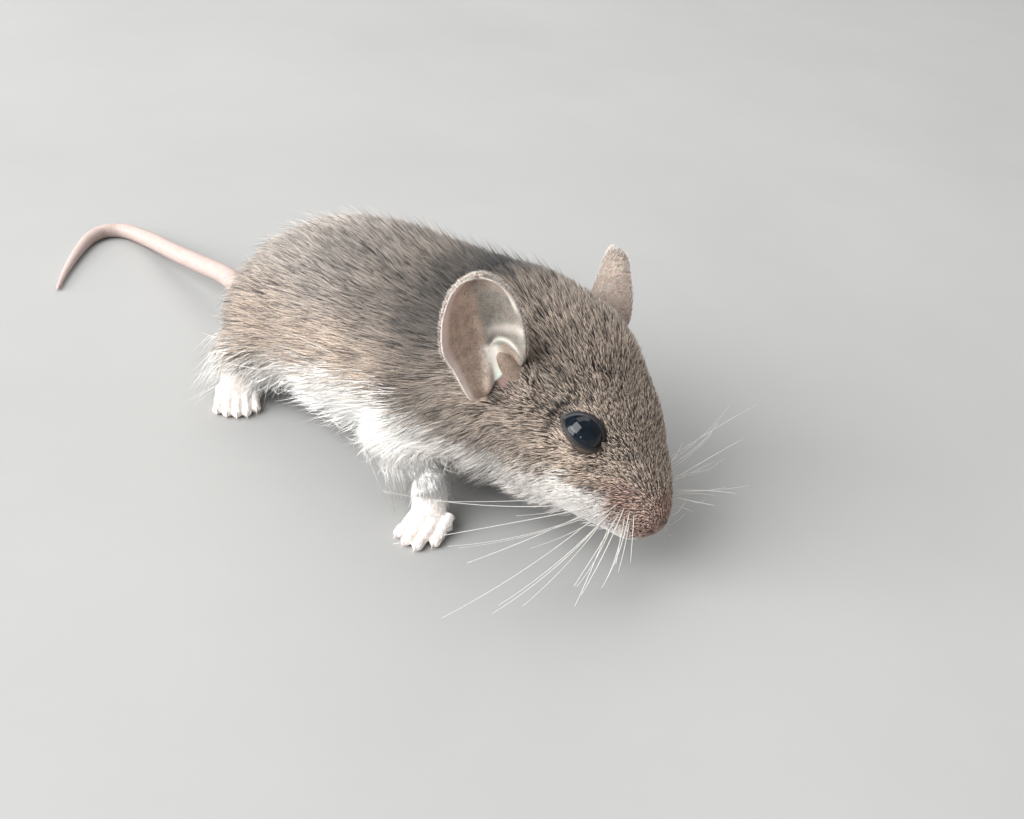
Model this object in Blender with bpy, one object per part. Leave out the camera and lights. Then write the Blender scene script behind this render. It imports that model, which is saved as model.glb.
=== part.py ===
"""Young grey mouse, life size, as parted solids.

The body is modelled whole, in millimetres, from rings along a spine, and is then
parted by thin cuts into the regions a person would name. The mouse faces -Y, its
right side is -X, and its toes, pads and the end of its tail rest on z = 0.
"""
import math
from dataclasses import dataclass

import bmesh
import bpy
from mathutils import Matrix, Vector

MM = 0.001                 # the model is drawn in millimetres and written in metres
GAP = 0.3                  # width of the cut between two neighbouring parts
RIGHT, LEFT = -1.0, 1.0    # sides of the animal

# ---- overall sizes, millimetres --------------------------------------------------
TRUNK_HALF_WIDTH = 10.8    # widest place, over the loins, coat included
TRUNK_HALF_HEIGHT = 10.6
SPINE_HEIGHT = 12.0        # middle of the trunk above the floor
HEAD_HALF_WIDTH = 9.2      # across the cheeks
EYE_RADIUS = 1.9
EYE_BULGE = 0.75           # how far the ball stands out of the coat
EAR_LENGTHS = {RIGHT: 11.6, LEFT: 11.0}
EAR_HALF_WIDTH = 3.75
EAR_ROOTS = {RIGHT: (18.75, 9.0, 2.85), LEFT: (18.3, 8.7, 3.2)}   # back, aside, up
EAR_THICKNESS = 0.6
EAR_SCOOP = 4.2            # how deeply the ear is cupped near its root
EAR_ROOT_ANGLE = -64.0
EAR_LEAN_BACK = 4.8        # against 9.2 upwards
EAR_LEAN_OUT = {RIGHT: 3.1, LEFT: 1.3}
TAIL_BASE_RADIUS = 1.22
TAIL_TIP_RADIUS = 0.4
DIGIT_RADIUS = 0.5
CLAW_RADIUS = 0.16

# ---- the pose of the head --------------------------------------------------------
HEAD_PIVOT = (17.2, 1.7, 16.1)      # between the ears: forward, left, up
HEAD_TURN_LEFT = math.radians(-3.0)
HEAD_NOSE_DOWN = math.radians(20.0)
HEAD_RIGHT_SIDE_UP = math.radians(14.0)
PIVOT_TO_NOSE = 19.5                # along the head
PIVOT_ABOVE_NOSE = 3.5


def spot(forward: float, left: float, up: float) -> Vector:
    """Turn a place given forward, left and up of the body into model axes."""
    return Vector((left, -forward, up))


def head_axes() -> tuple:
    """Forward, left and up directions of the posed head, in model axes."""
    turn = (Matrix.Rotation(HEAD_TURN_LEFT, 3, "Z")
            @ Matrix.Rotation(HEAD_NOSE_DOWN, 3, "X")
            @ Matrix.Rotation(HEAD_RIGHT_SIDE_UP, 3, "Y"))
    return turn @ Vector((0, -1, 0)), turn @ Vector((1, 0, 0)), turn @ Vector((0, 0, 1))


HEAD_FORWARD, HEAD_LEFT, HEAD_UP = head_axes()
NOSE_TIP = spot(*HEAD_PIVOT) + HEAD_FORWARD * PIVOT_TO_NOSE - HEAD_UP * PIVOT_ABOVE_NOSE


def head_spot(back: float, left: float, up: float) -> Vector:
    """A place on the head, measured back, left and up from the nose tip."""
    return NOSE_TIP - HEAD_FORWARD * back + HEAD_LEFT * left + HEAD_UP * up


@dataclass(frozen=True)
class Ring:
    """One section of a tube: its middle, half sizes and how boxy it is."""

    middle: Vector
    half_width: float
    half_height: float
    square: float = 2.0


def blend(before: float, start: float, end: float, after: float, t: float) -> float:
    """Catmull-Rom value between start and end."""
    return 0.5 * (2 * start + (end - before) * t
                  + (2 * before - 5 * start + 4 * end - after) * t * t
                  + (3 * start - before - 3 * end + after) * t * t * t)


def smooth_rings(rings: list, steps: int) -> list:
    """Fill in rings between the given ones so that the tube curves smoothly."""
    last = len(rings) - 1
    filled = []
    for i in range(last):
        near = [rings[max(i - 1, 0)], rings[i], rings[i + 1], rings[min(i + 2, last)]]
        for step in range(steps):
            t = step / steps
            middle = Vector([blend(*(ring.middle[axis] for ring in near), t)
                             for axis in range(3)])
            filled.append(Ring(middle,
                               blend(*(ring.half_width for ring in near), t),
                               blend(*(ring.half_height for ring in near), t),
                               blend(*(ring.square for ring in near), t)))
    return filled + [rings[last]]


def solid(name: str, points: list, faces: list) -> bpy.types.Object:
    """Make an object of points and faces with its faces turned outwards."""
    mesh = bpy.data.meshes.new(name)
    mesh.from_pydata([tuple(point) for point in points], [], faces)
    work = bmesh.new()
    work.from_mesh(mesh)
    bmesh.ops.remove_doubles(work, verts=work.verts, dist=0.0001)
    bmesh.ops.recalc_face_normals(work, faces=work.faces)
    work.to_mesh(mesh)
    work.free()
    thing = bpy.data.objects.new(name, mesh)
    bpy.context.scene.collection.objects.link(thing)
    return thing


def tube(name: str, rings: list, above: Vector, around: int = 24,
         steps: int = 4) -> bpy.types.Object:
    """Skin a smooth closed tube over rings; each ring stands square to the path."""
    rings = smooth_rings(rings, steps)
    points, faces = [], []
    for i, ring in enumerate(rings):
        ahead = (rings[min(i + 1, len(rings) - 1)].middle
                 - rings[max(i - 1, 0)].middle).normalized()
        side = above.cross(ahead).normalized()
        upright = ahead.cross(side).normalized()
        for k in range(around):
            angle = 2 * math.pi * k / around
            c, s = math.cos(angle), math.sin(angle)
            reach = 2.0 / ring.square
            points.append(ring.middle
                          + side * ring.half_width * math.copysign(abs(c) ** reach, c)
                          + upright * ring.half_height * math.copysign(abs(s) ** reach, s))
        if i:
            for k in range(around):
                a, b = (i - 1) * around + k, (i - 1) * around + (k + 1) % around
                faces.append((a, b, b + around, a + around))
    first, last = len(points), len(points) + 1
    points += [rings[0].middle, rings[-1].middle]
    end = (len(rings) - 1) * around
    for k in range(around):
        following = (k + 1) % around
        faces.append((first, following, k))
        faces.append((last, end + k, end + following))
    return solid(name, points, faces)


def round_ends(rings: list, start: float, end: float) -> list:
    """Close a run of rings with small end rings so that both ends are rounded."""
    def cap(ring: Ring, beyond: Vector, length: float) -> list:
        away = (ring.middle - beyond).normalized()
        return [Ring(ring.middle + away * length * 0.65, ring.half_width * 0.72,
                     ring.half_height * 0.72, ring.square),
                Ring(ring.middle + away * length, ring.half_width * 0.12,
                     ring.half_height * 0.12, ring.square)]
    head = cap(rings[0], rings[1].middle, start)
    tail = cap(rings[-1], rings[-2].middle, end)
    return head[::-1] + rings + tail


def ball(name: str, middle: Vector, radii: tuple, axes: tuple = None,
         detail: int = 2) -> bpy.types.Object:
    """An ellipsoid with its own axes (model axes when none are given)."""
    work = bmesh.new()
    bmesh.ops.create_icosphere(work, subdivisions=detail, radius=1.0)
    x, y, z = axes or (Vector((1, 0, 0)), Vector((0, 1, 0)), Vector((0, 0, 1)))
    for vertex in work.verts:
        unit = vertex.co.copy()
        vertex.co = (middle + x * unit.x * radii[0] + y * unit.y * radii[1]
                     + z * unit.z * radii[2])
    bmesh.ops.recalc_face_normals(work, faces=work.faces)
    mesh = bpy.data.meshes.new(name)
    work.to_mesh(mesh)
    work.free()
    thing = bpy.data.objects.new(name, mesh)
    bpy.context.scene.collection.objects.link(thing)
    return thing


def block(name: str, face: Vector, into: Vector, size: float, depth: float,
          above: Vector = Vector((0, 0, 1))) -> bpy.types.Object:
    """A box whose one face is centred at a place and which reaches along `into`."""
    into = into.normalized()
    side = above.cross(into)
    side = side.normalized() if side.length > 1e-6 else Vector((1, 0, 0))
    up = into.cross(side)
    points = [face + into * d + side * a * size + up * b * size
              for d in (0.0, depth) for a, b in ((-1, -1), (1, -1), (1, 1), (-1, 1))]
    return solid(name, points, [(0, 1, 2, 3), (4, 7, 6, 5), (0, 4, 5, 1), (1, 5, 6, 2),
                                (2, 6, 7, 3), (3, 7, 4, 0)])


def bake(thing: bpy.types.Object) -> bpy.types.Object:
    """Apply the object's modifiers and leave it with a plain mesh."""
    graph = bpy.context.evaluated_depsgraph_get()
    mesh = bpy.data.meshes.new_from_object(thing.evaluated_get(graph))
    thing.modifiers.clear()
    old, thing.data = thing.data, mesh
    bpy.data.meshes.remove(old)
    return thing


def discard(thing: bpy.types.Object) -> None:
    """Take an object that has done its work out of the model."""
    mesh = thing.data
    bpy.data.objects.remove(thing, do_unlink=True)
    if not mesh.users:
        bpy.data.meshes.remove(mesh)


def duplicate(thing: bpy.types.Object, name: str) -> bpy.types.Object:
    """Copy an object with its own mesh."""
    twin = bpy.data.objects.new(name, thing.data.copy())
    bpy.context.scene.collection.objects.link(twin)
    return twin


def largest_island(thing: bpy.types.Object) -> bpy.types.Object:
    """Keep only the biggest connected piece, and triangulate it cleanly."""
    work = bmesh.new()
    work.from_mesh(thing.data)
    bmesh.ops.triangulate(work, faces=work.faces)
    unseen, islands = set(work.verts), []
    while unseen:
        seed = unseen.pop()
        island, edge = {seed}, [seed]
        while edge:
            vertex = edge.pop()
            for link in vertex.link_edges:
                other = link.other_vert(vertex)
                if other in unseen:
                    unseen.discard(other)
                    island.add(other)
                    edge.append(other)
        islands.append(island)
    islands.sort(key=len)
    strays = [vertex for island in islands[:-1] for vertex in island]
    bmesh.ops.delete(work, geom=strays, context="VERTS")
    bmesh.ops.dissolve_degenerate(work, edges=work.edges, dist=0.002)
    bmesh.ops.triangulate(work, faces=work.faces)
    bmesh.ops.recalc_face_normals(work, faces=work.faces)
    work.to_mesh(thing.data)
    work.free()
    return thing


def combine(thing: bpy.types.Object, tool: bpy.types.Object,
            operation: str) -> bpy.types.Object:
    """Boolean of two solids, kept as one clean island."""
    modifier = thing.modifiers.new("cut", "BOOLEAN")
    modifier.operation = operation
    modifier.solver = "EXACT"
    modifier.object = tool
    return largest_island(bake(thing))


def fuse(name: str, pieces: list, voxel: float, passes: int,
         triangles: int) -> bpy.types.Object:
    """Melt overlapping solids into one skin and bring it down to a triangle count."""
    whole = bmesh.new()
    for piece in pieces:
        whole.from_mesh(piece.data)
        discard(piece)
    mesh = bpy.data.meshes.new(name)
    whole.to_mesh(mesh)
    whole.free()
    thing = bpy.data.objects.new(name, mesh)
    bpy.context.scene.collection.objects.link(thing)
    remesh = thing.modifiers.new("melt", "REMESH")
    remesh.mode = "VOXEL"
    remesh.voxel_size = voxel
    soften = thing.modifiers.new("soften", "SMOOTH")
    soften.factor = 0.5
    soften.iterations = passes
    bake(thing)
    count = sum(len(face.vertices) - 2 for face in thing.data.polygons)
    thin = thing.modifiers.new("thin", "DECIMATE")
    thin.ratio = min(1.0, triangles / count)
    return largest_island(bake(thing))


def part_by_ball(thing: bpy.types.Object, name: str, middle: Vector,
                 radii: tuple) -> bpy.types.Object:
    """Part off what lies inside an ellipsoid, leaving a thin gap around it."""
    inner = ball("inner", middle, tuple(r - GAP / 2 for r in radii), detail=3)
    outer = ball("outer", middle, tuple(r + GAP / 2 for r in radii), detail=3)
    piece = combine(duplicate(thing, name), inner, "INTERSECT")
    combine(thing, outer, "DIFFERENCE")
    discard(inner)
    discard(outer)
    return piece


def part_by_plane(thing: bpy.types.Object, name: str, place: Vector,
                  towards: Vector, size: float = 60.0) -> bpy.types.Object:
    """Part off what lies beyond a plane, leaving a thin gap along it."""
    towards = towards.normalized()
    beyond = block("beyond", place + towards * GAP / 2, towards, size, 2 * size)
    wide = block("wide", place - towards * GAP / 2, towards, size, 2 * size)
    piece = combine(duplicate(thing, name), beyond, "INTERSECT")
    combine(thing, wide, "DIFFERENCE")
    discard(beyond)
    discard(wide)
    return piece


def seat(thing: bpy.types.Object, host: bpy.types.Object) -> bpy.types.Object:
    """Trim a solid so that it stops a thin gap short of its host's surface."""
    swollen = duplicate(host, "swollen")
    swell = swollen.modifiers.new("swell", "DISPLACE")
    swell.strength = GAP
    swell.mid_level = 0.0
    combine(thing, bake(swollen), "DIFFERENCE")
    discard(swollen)
    return thing


def stand_flat(thing: bpy.types.Object) -> bpy.types.Object:
    """Shave whatever hangs below the floor, which leaves small flats to stand on."""
    under = block("under", Vector((0, 0, 0)), Vector((0, 0, -1)), 200.0, 10.0,
                  Vector((0, 1, 0)))
    combine(thing, under, "DIFFERENCE")
    discard(under)
    return thing


# ---- trunk, neck and head ----------------------------------------------------------

def make_trunk() -> bpy.types.Object:
    """Rump, loins, chest and neck as one tube along the back."""
    width, height, spine = TRUNK_HALF_WIDTH, TRUNK_HALF_HEIGHT, SPINE_HEIGHT
    rings = [
        Ring(spot(-22.9, -0.2, spine - 5.3), width * 0.24, height * 0.22, 2.0),
        Ring(spot(-21.2, -0.2, spine - 5.1), width * 0.36, height * 0.33, 2.0),
        Ring(spot(-18.3, -0.2, spine - 4.25), width * 0.55, height * 0.51, 2.0),
        Ring(spot(-14.4, -0.1, spine - 2.6), width * 0.76, height * 0.73, 2.05),
        Ring(spot(-8.8, 0.0, spine - 0.75), width * 0.93, height * 0.93, 2.1),
        Ring(spot(-2.5, 0.1, spine + 0.2), width, height * 1.01, 2.1),
        Ring(spot(5.0, 0.3, spine + 0.8), width * 0.97, height * 1.02, 2.1),
        Ring(spot(11.5, 0.7, spine + 1.6), width * 0.93, height * 1.02, 2.1),
        Ring(spot(17.0, 1.2, spine + 2.6), width * 0.88, height * 0.99, 2.0),
    ]
    return tube("trunk", round_ends(rings, 1.2, 3.0), Vector((0, 0, 1)), 32)


def make_head() -> bpy.types.Object:
    """Skull, cheeks and snout as one tube, deepest at the jaw."""
    wide = HEAD_HALF_WIDTH
    rings = [
        Ring(head_spot(24.0, 0, 1.2), wide * 0.93, wide * 0.97),
        Ring(head_spot(20.5, 0, 2.0), wide, wide * 1.06, 2.05),
        Ring(head_spot(17.0, 0, 2.0), wide * 0.99, wide * 1.11, 2.05),
        Ring(head_spot(13.5, 0, 1.6), wide * 0.93, wide * 1.03, 2.05),
        Ring(head_spot(10.0, 0, 1.4), wide * 0.81, wide * 0.88, 2.05),
        Ring(head_spot(6.8, 0, 0.9), wide * 0.66, wide * 0.69, 2.05),
        Ring(head_spot(3.8, 0, 0.4), wide * 0.49, wide * 0.48, 2.05),
        Ring(head_spot(1.6, 0, 0.0), wide * 0.31, wide * 0.28, 2.05),
    ]
    return tube("head", round_ends(rings, 2.5, 1.5), HEAD_UP, 28)


def make_nose() -> list:
    """Nose pad with the two whisker cushions and the chin behind it."""
    return [ball("nose", head_spot(0.8, 0, 0.1), (1.15, 1.0, 0.85),
                 (HEAD_LEFT, HEAD_FORWARD, HEAD_UP)),
            ball("chin", head_spot(5.2, 0, -2.2), (2.2, 2.6, 1.4),
                 (HEAD_LEFT, HEAD_FORWARD, HEAD_UP))] + [
        ball("cushion", head_spot(3.4, side * 1.7, -0.9), (1.7, 2.3, 1.6),
             (HEAD_LEFT, HEAD_FORWARD, HEAD_UP)) for side in (RIGHT, LEFT)]


# ---- legs --------------------------------------------------------------------------

@dataclass(frozen=True)
class Foot:
    """One foot: where its wrist or heel, palm and middle toe tip lie."""

    name: str
    joint: tuple            # ankle or wrist: forward, left, up
    ball: tuple             # middle of the pads behind the toes
    tip: tuple              # tip of the middle digit
    width: float            # across the pads
    digits: int
    spread: float           # fan of the digits, radians
    outer: float            # length of the outermost digit against its neighbours


FEET = (
    Foot("forefoot_right", (13.1, -8.3, 4.2), (14.9, -10.1, 1.3), (15.5, -13.3, 0.4),
         4.1, 4, 0.5, 0.62),
    Foot("forefoot_left", (14.3, 8.8, 4.0), (16.5, 10.2, 1.3), (19.4, 12.0, 0.4),
         4.1, 4, 0.5, 0.62),
    Foot("hindfoot_right", (-16.2, -7.2, 4.1), (-14.2, -9.3, 1.6), (-11.6, -11.6, 0.4),
         4.5, 5, 0.42, 0.9),
    Foot("hindfoot_left", (-16.4, 7.2, 4.1), (-14.2, 9.3, 1.6), (-11.0, 11.6, 0.4),
         4.5, 5, 0.42, 0.9),
)


def make_foot(foot: Foot) -> bpy.types.Object:
    """A foot with its palm, pads, digits and claws, flat underneath."""
    joint, pads, tip = spot(*foot.joint), spot(*foot.ball), spot(*foot.tip)
    up = Vector((0, 0, 1))
    back = joint + (joint - pads) * 0.45
    thin = foot.width * 0.34
    pieces = [tube("palm", round_ends([
        Ring(back, foot.width * 0.38, foot.width * 0.36),
        Ring(joint, foot.width * 0.39, foot.width * 0.34),
        Ring(joint.lerp(pads, 0.5), foot.width * 0.42, thin),
        Ring(pads, foot.width * 0.5, foot.width * 0.30),
    ], 0.5, 0.9), up, 16, 3)]
    flat_ahead = Vector((tip.x - pads.x, tip.y - pads.y, 0))
    reach = flat_ahead.length
    outside = LEFT if foot.joint[1] < 0 else RIGHT
    for i in range(foot.digits):
        across = i / (foot.digits - 1) - 0.5
        ahead = Matrix.Rotation(foot.spread * across, 3, "Z") @ flat_ahead.normalized()
        side = up.cross(flat_ahead.normalized())
        length = reach * (1.0 - 0.9 * across * across)
        outermost = across * outside > 0.49
        length *= foot.outer if outermost else 1.0
        root = pads + side * across * foot.width * 0.80 - ahead * 0.2
        root.z = pads.z * 0.80
        knuckle = root + ahead * length * 0.45
        knuckle.z = DIGIT_RADIUS * 1.6
        end = root + ahead * length * 0.88
        end.z = DIGIT_RADIUS * 0.85
        claw = root + ahead * (length + 0.45)
        claw.z = CLAW_RADIUS * 1.2
        pieces.append(tube("digit", [
            Ring(root, DIGIT_RADIUS * 1.15, DIGIT_RADIUS * 1.15),
            Ring(knuckle, DIGIT_RADIUS * 0.95, DIGIT_RADIUS * 0.95),
            Ring(end, DIGIT_RADIUS, DIGIT_RADIUS * 0.95),
            Ring(end + ahead * 0.45 - up * 0.1, CLAW_RADIUS * 1.9, CLAW_RADIUS * 1.9),
            Ring(claw, CLAW_RADIUS, CLAW_RADIUS),
        ], up, 10, 3))
    return fuse(foot.name, pieces, 0.2, 2, 350)


def make_legs() -> list:
    """Thighs, shanks, shoulders and forearms, to be melted into the trunk."""
    pieces = []
    for foot in FEET:
        side = LEFT if foot.joint[1] > 0 else RIGHT
        joint = spot(*foot.joint)
        down = (spot(*foot.ball) - joint) * 0.3
        if foot.name.startswith("hind"):
            pieces.append(ball("haunch", spot(-13.2, side * 5.9, 8.8), (4.5, 6.2, 6.8)))
            start, middle = spot(-12.8, side * 6.8, 8.5), spot(-14.8, side * 7.0, 6.0)
            sizes = (3.0, 2.3, foot.width * 0.40)
        else:
            pieces.append(ball("shoulder", spot(9.5, side * 5.4, 10.2), (4.0, 5.2, 5.6)))
            start, middle = spot(8.0, side * 7.4, 9.2), spot(6.6, side * 8.4, 6.9)
            sizes = (3.0, 2.5, foot.width * 0.41)
        rings = [Ring(start, sizes[0], sizes[0]), Ring(middle, sizes[1], sizes[1]),
                 Ring(joint, sizes[2], sizes[2]),
                 Ring(joint + down, sizes[2], sizes[2] * 0.95)]
        pieces.append(tube("leg", round_ends(rings, 1.5, 0.6),
                           Vector((0, -1, 0)), 14, 3))
    return pieces


# ---- ears, eyes, tail ----------------------------------------------------------------

def make_ear(name: str, side: float) -> bpy.types.Object:
    """A thin cupped ear that opens outwards and forwards and leans back."""
    length = EAR_LENGTHS[side]
    back, aside, above = EAR_ROOTS[side]
    root = head_spot(back, side * aside, above)
    axis = (HEAD_LEFT * side * EAR_LEAN_OUT[side] - HEAD_FORWARD * EAR_LEAN_BACK
            + HEAD_UP * 9.2).normalized()
    facing = HEAD_FORWARD * 0.70 + HEAD_LEFT * side * 0.71
    facing = (facing - axis * facing.dot(axis)).normalized()
    front = axis.cross(facing).normalized()
    if front.dot(HEAD_FORWARD) < 0:
        front.negate()
    rows, columns = 9, 10
    outer, inner = [], []
    for i in range(rows + 1):
        lift = math.radians(EAR_ROOT_ANGLE + (90.0 - EAR_ROOT_ANGLE) * i / rows)
        rise = length * 0.5 * (1.0 + math.sin(lift))
        half = EAR_HALF_WIDTH * max(math.cos(lift), 0.02)
        up = rise / length
        scoop = EAR_SCOOP * (1.0 - 0.75 * up)
        for k in range(columns + 1):
            s = math.sin(0.5 * math.pi * (2.0 * k / columns - 1.0))
            place = (root + axis * rise + front * (half * s - 0.3 * up)
                     + facing * scoop * (s * s - 0.45) * half / EAR_HALF_WIDTH)
            edge = EAR_THICKNESS * 0.5 * (1.0 - 0.25 * abs(s) ** 4)
            inner.append(place + facing * edge)
            outer.append(place - facing * edge)
    stride = columns + 1
    count = len(inner)
    faces = []
    for i in range(rows):
        for k in range(columns):
            a = i * stride + k
            faces.append((a, a + 1, a + stride + 1, a + stride))
            faces.append((count + a, count + a + stride, count + a + stride + 1,
                          count + a + 1))
    rim = ([k for k in range(columns)]
           + [i * stride + columns for i in range(rows)]
           + [rows * stride + k for k in range(columns, 0, -1)]
           + [i * stride for i in range(rows, 0, -1)])
    for here, following in zip(rim, rim[1:] + rim[:1]):
        faces.append((here, count + here, count + following, following))
    return solid(name, inner + outer, faces)


def make_tail() -> bpy.types.Object:
    """The tail: it slopes from the rump to the floor, then bends round on it."""
    path = [(-19.0, -0.8, 7.7), (-23.8, -0.1, 6.8), (-29.2, 1.8, 5.55), (-35.3, 3.0, 4.1),
            (-41.7, 4.1, 2.7), (-48.2, 5.2, 1.45), (-52.8, 4.9, 0.95),
            (-54.7, 3.0, 0.84), (-54.5, 0.6, 0.76), (-53.1, -1.9, 0.68),
            (-51.2, -4.5, 0.58), (-48.9, -7.3, 0.47), (-46.4, -10.0, 0.35)]
    last = len(path) - 1
    rings = []
    for i, place in enumerate(path):
        t = i / last
        radius = TAIL_BASE_RADIUS + (TAIL_TIP_RADIUS - TAIL_BASE_RADIUS) * t ** 1.9
        rings.append(Ring(spot(*place), radius, radius))
    return tube("tail", round_ends(rings, 0.5, 0.6), Vector((0, 0, 1)), 10, 2)


# ---- finishing -----------------------------------------------------------------------

def material(name: str, colour: tuple, roughness: float) -> bpy.types.Material:
    """A plain coloured surface."""
    finish = bpy.data.materials.new(name)
    finish.use_nodes = True
    shader = finish.node_tree.nodes["Principled BSDF"]
    shader.inputs["Base Color"].default_value = (*colour, 1.0)
    shader.inputs["Roughness"].default_value = roughness
    return finish


def main() -> None:
    """Build the mouse, part it, paint it and set it on the floor."""
    for thing in list(bpy.data.objects):
        bpy.data.objects.remove(thing, do_unlink=True)

    body = fuse("body", [make_trunk(), make_head(), *make_nose(), *make_legs()],
                0.5, 6, 1620)
    parts = {}

    eyes = {}
    for name, side in (("eye_right", RIGHT), ("eye_left", LEFT)):
        outward = (HEAD_LEFT * side * 0.80 + HEAD_UP * 0.52 + HEAD_FORWARD * 0.30)
        surface = head_spot(9.74, side * 6.4, 5.36)
        middle = surface - outward.normalized() * (EYE_RADIUS - EYE_BULGE)
        eyes[name] = ball(name, middle, (EYE_RADIUS,) * 3, detail=3)
        socket = ball("socket", middle, (EYE_RADIUS + GAP,) * 3, detail=2)
        combine(body, socket, "DIFFERENCE")
        discard(socket)
    parts.update(eyes)

    ears = {name: make_ear(name, side)
            for name, side in (("ear_right", RIGHT), ("ear_left", LEFT))}
    for ear in ears.values():
        seat(ear, body)
    parts.update(ears)

    tail = seat(make_tail(), body)
    stand_flat(tail)
    parts["tail_middle"] = part_by_plane(tail, "tail_middle", spot(-38.0, 3.5, 3.7),
                                         spot(-1, 0.18, -0.2))
    parts["tail_tip"] = part_by_plane(parts["tail_middle"], "tail_tip",
                                      spot(-54.2, 1.6, 0.7), spot(0, -1, 0), 16.0)
    tail.name = "tail_base"
    parts["tail_base"] = tail

    for foot in FEET:
        shape = stand_flat(make_foot(foot))
        joint, pads = spot(*foot.joint), spot(*foot.ball)
        beyond = (pads - joint).normalized()
        stump = block("stump", joint - beyond * 12.0, beyond, 7.0, 12.0 + GAP / 2,
                      Vector((0, -1, 0)))
        combine(shape, stump, "DIFFERENCE")
        discard(stump)
        parts[foot.name] = shape
        end = block("end", joint - beyond * GAP / 2, beyond, 2.6, 8.0,
                    Vector((0, -1, 0)))
        combine(body, end, "DIFFERENCE")
        discard(end)

    for name, side in (("thigh_right", RIGHT), ("thigh_left", LEFT)):
        parts[name] = part_by_ball(body, name, spot(-15.2, side * 8.4, 6.8),
                                   (5.0, 6.6, 6.8))
    for name, side in (("foreleg_right", RIGHT), ("foreleg_left", LEFT)):
        parts[name] = part_by_ball(body, name, spot(10.0, side * 9.2, 5.8),
                                   (4.1, 6.6, 4.6))

    head = part_by_plane(body, "head", head_spot(21.0, 0, 0), HEAD_FORWARD)
    parts["muzzle"] = part_by_plane(head, "muzzle", head_spot(5.6, 0, 0), HEAD_FORWARD)
    jaw_cut = (-HEAD_UP + HEAD_FORWARD * 0.25).normalized()
    parts["jaw"] = part_by_plane(head, "jaw", head_spot(9.0, 0, -4.3), jaw_cut)
    parts["head"] = head

    parts["neck"] = part_by_plane(body, "neck", spot(11.5, 0, 13), spot(1, 0, 0.12))
    parts["chest"] = part_by_plane(body, "chest", spot(2.0, 0, 13), spot(1, 0, 0))
    parts["loin"] = part_by_plane(body, "loin", spot(-10.5, 0, 13), spot(1, 0, 0))
    body.name = "rump"
    parts["rump"] = body

    coat = material("grey_brown_coat", (0.235, 0.190, 0.150), 0.85)
    pale = material("white_coat", (0.780, 0.755, 0.715), 0.80)
    bare = material("pink_skin", (0.760, 0.610, 0.560), 0.55)
    dark = material("eye_black", (0.012, 0.011, 0.012), 0.06)
    finishes = {"eye": dark, "ear": bare, "tail": bare, "forefoot": bare,
                "hindfoot": bare, "foreleg": pale, "jaw": pale}

    corners = [vertex.co for part in parts.values() for vertex in part.data.vertices]
    shift = Vector((-(min(c.x for c in corners) + max(c.x for c in corners)) / 2,
                    -(min(c.y for c in corners) + max(c.y for c in corners)) / 2, 0))
    print("shift", shift)
    for name, part in parts.items():
        part.name = name
        part.data.name = name
        for vertex in part.data.vertices:
            vertex.co = (vertex.co + shift) * MM
        part.data.materials.clear()
        part.data.materials.append(finishes.get(name.split("_")[0], coat))
        for face in part.data.polygons:
            face.use_smooth = True
        part.data.update()


main()
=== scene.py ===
"""Looks of a young grey mouse, life size: one skin, a coat of tufts, eyes, claws, whiskers.

Shapes are worked out in millimetres, in the frame's own axes: the mouse faces -Y, its
left side is +X and it rests on z = 0. They are scaled to metres when a piece is made.
"""
import logging
import math
from dataclasses import dataclass, field
from enum import Enum

import bmesh
import bpy
import numpy as np
from mathutils import Matrix, Vector
from mathutils.bvhtree import BVHTree


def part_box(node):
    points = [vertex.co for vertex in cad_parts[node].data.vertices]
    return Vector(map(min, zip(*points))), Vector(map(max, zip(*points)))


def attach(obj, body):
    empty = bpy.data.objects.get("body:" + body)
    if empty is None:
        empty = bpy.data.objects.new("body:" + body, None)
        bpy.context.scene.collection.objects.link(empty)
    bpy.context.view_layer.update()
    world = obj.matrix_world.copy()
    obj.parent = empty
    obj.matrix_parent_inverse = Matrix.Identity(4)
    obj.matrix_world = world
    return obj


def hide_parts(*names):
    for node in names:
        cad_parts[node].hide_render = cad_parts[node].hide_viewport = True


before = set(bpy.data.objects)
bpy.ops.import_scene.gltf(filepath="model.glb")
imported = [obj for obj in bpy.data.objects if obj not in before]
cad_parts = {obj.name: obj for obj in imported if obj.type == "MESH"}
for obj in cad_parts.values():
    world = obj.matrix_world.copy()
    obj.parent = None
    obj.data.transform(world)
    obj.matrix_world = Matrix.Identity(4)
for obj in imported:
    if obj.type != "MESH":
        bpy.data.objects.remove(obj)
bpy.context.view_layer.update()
LOG = logging.getLogger("mouse")
MM = 0.001
CELL_PRIMES = (73856093, 19349663, 83492791)    # turn a lock's cell into one number
PATCH = 0.003           # size of a tuft's patch on the coat's map
WAIST = 0.42            # where a tuft is thickest, as a share along it
MARKS = ("white", "bare", "pigment_and_shade", "fold", "rosy", "painted_light")    # numbers stored on the skin
Array = np.ndarray
Thing, Mesh = bpy.types.Object, bpy.types.Mesh
Material, Socket = bpy.types.Material, bpy.types.NodeSocket
Chance = np.random.Generator
UP = np.array([0.0, 0.0, 1.0])


class Side(Enum):
    """The two sides of the animal, by the sign of their distance to the left."""

    RIGHT = -1.0
    LEFT = 1.0

    @property
    def word(self) -> str:
        """The side's name as the nodes spell it."""
        return self.name.lower()


class Slot(Enum):
    """Names of material slots, handed to `settle` with each piece."""

    COAT = "coat"
    WHITE = "white_coat"
    BARE = "bare_skin"
    EAR = "ear_skin"
    EYE = "eye"


# ---- small mathematics ----

def smooth(low: float, high: float, value: Array) -> Array:
    """Rise softly from 0 at low to 1 at high (or fall, when low is above high)."""
    t = np.clip((value - low) / (high - low), 0.0, 1.0)
    return t * t * (3.0 - 2.0 * t)


def mix(first: Array, second: Array, share: Array) -> Array:
    """Blend two arrays; the share may be one number for each row."""
    share = np.asarray(share)
    if np.ndim(first) > 1 and share.ndim == 1:
        share = share[:, None]
    return first * (1.0 - share) + second * share


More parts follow.
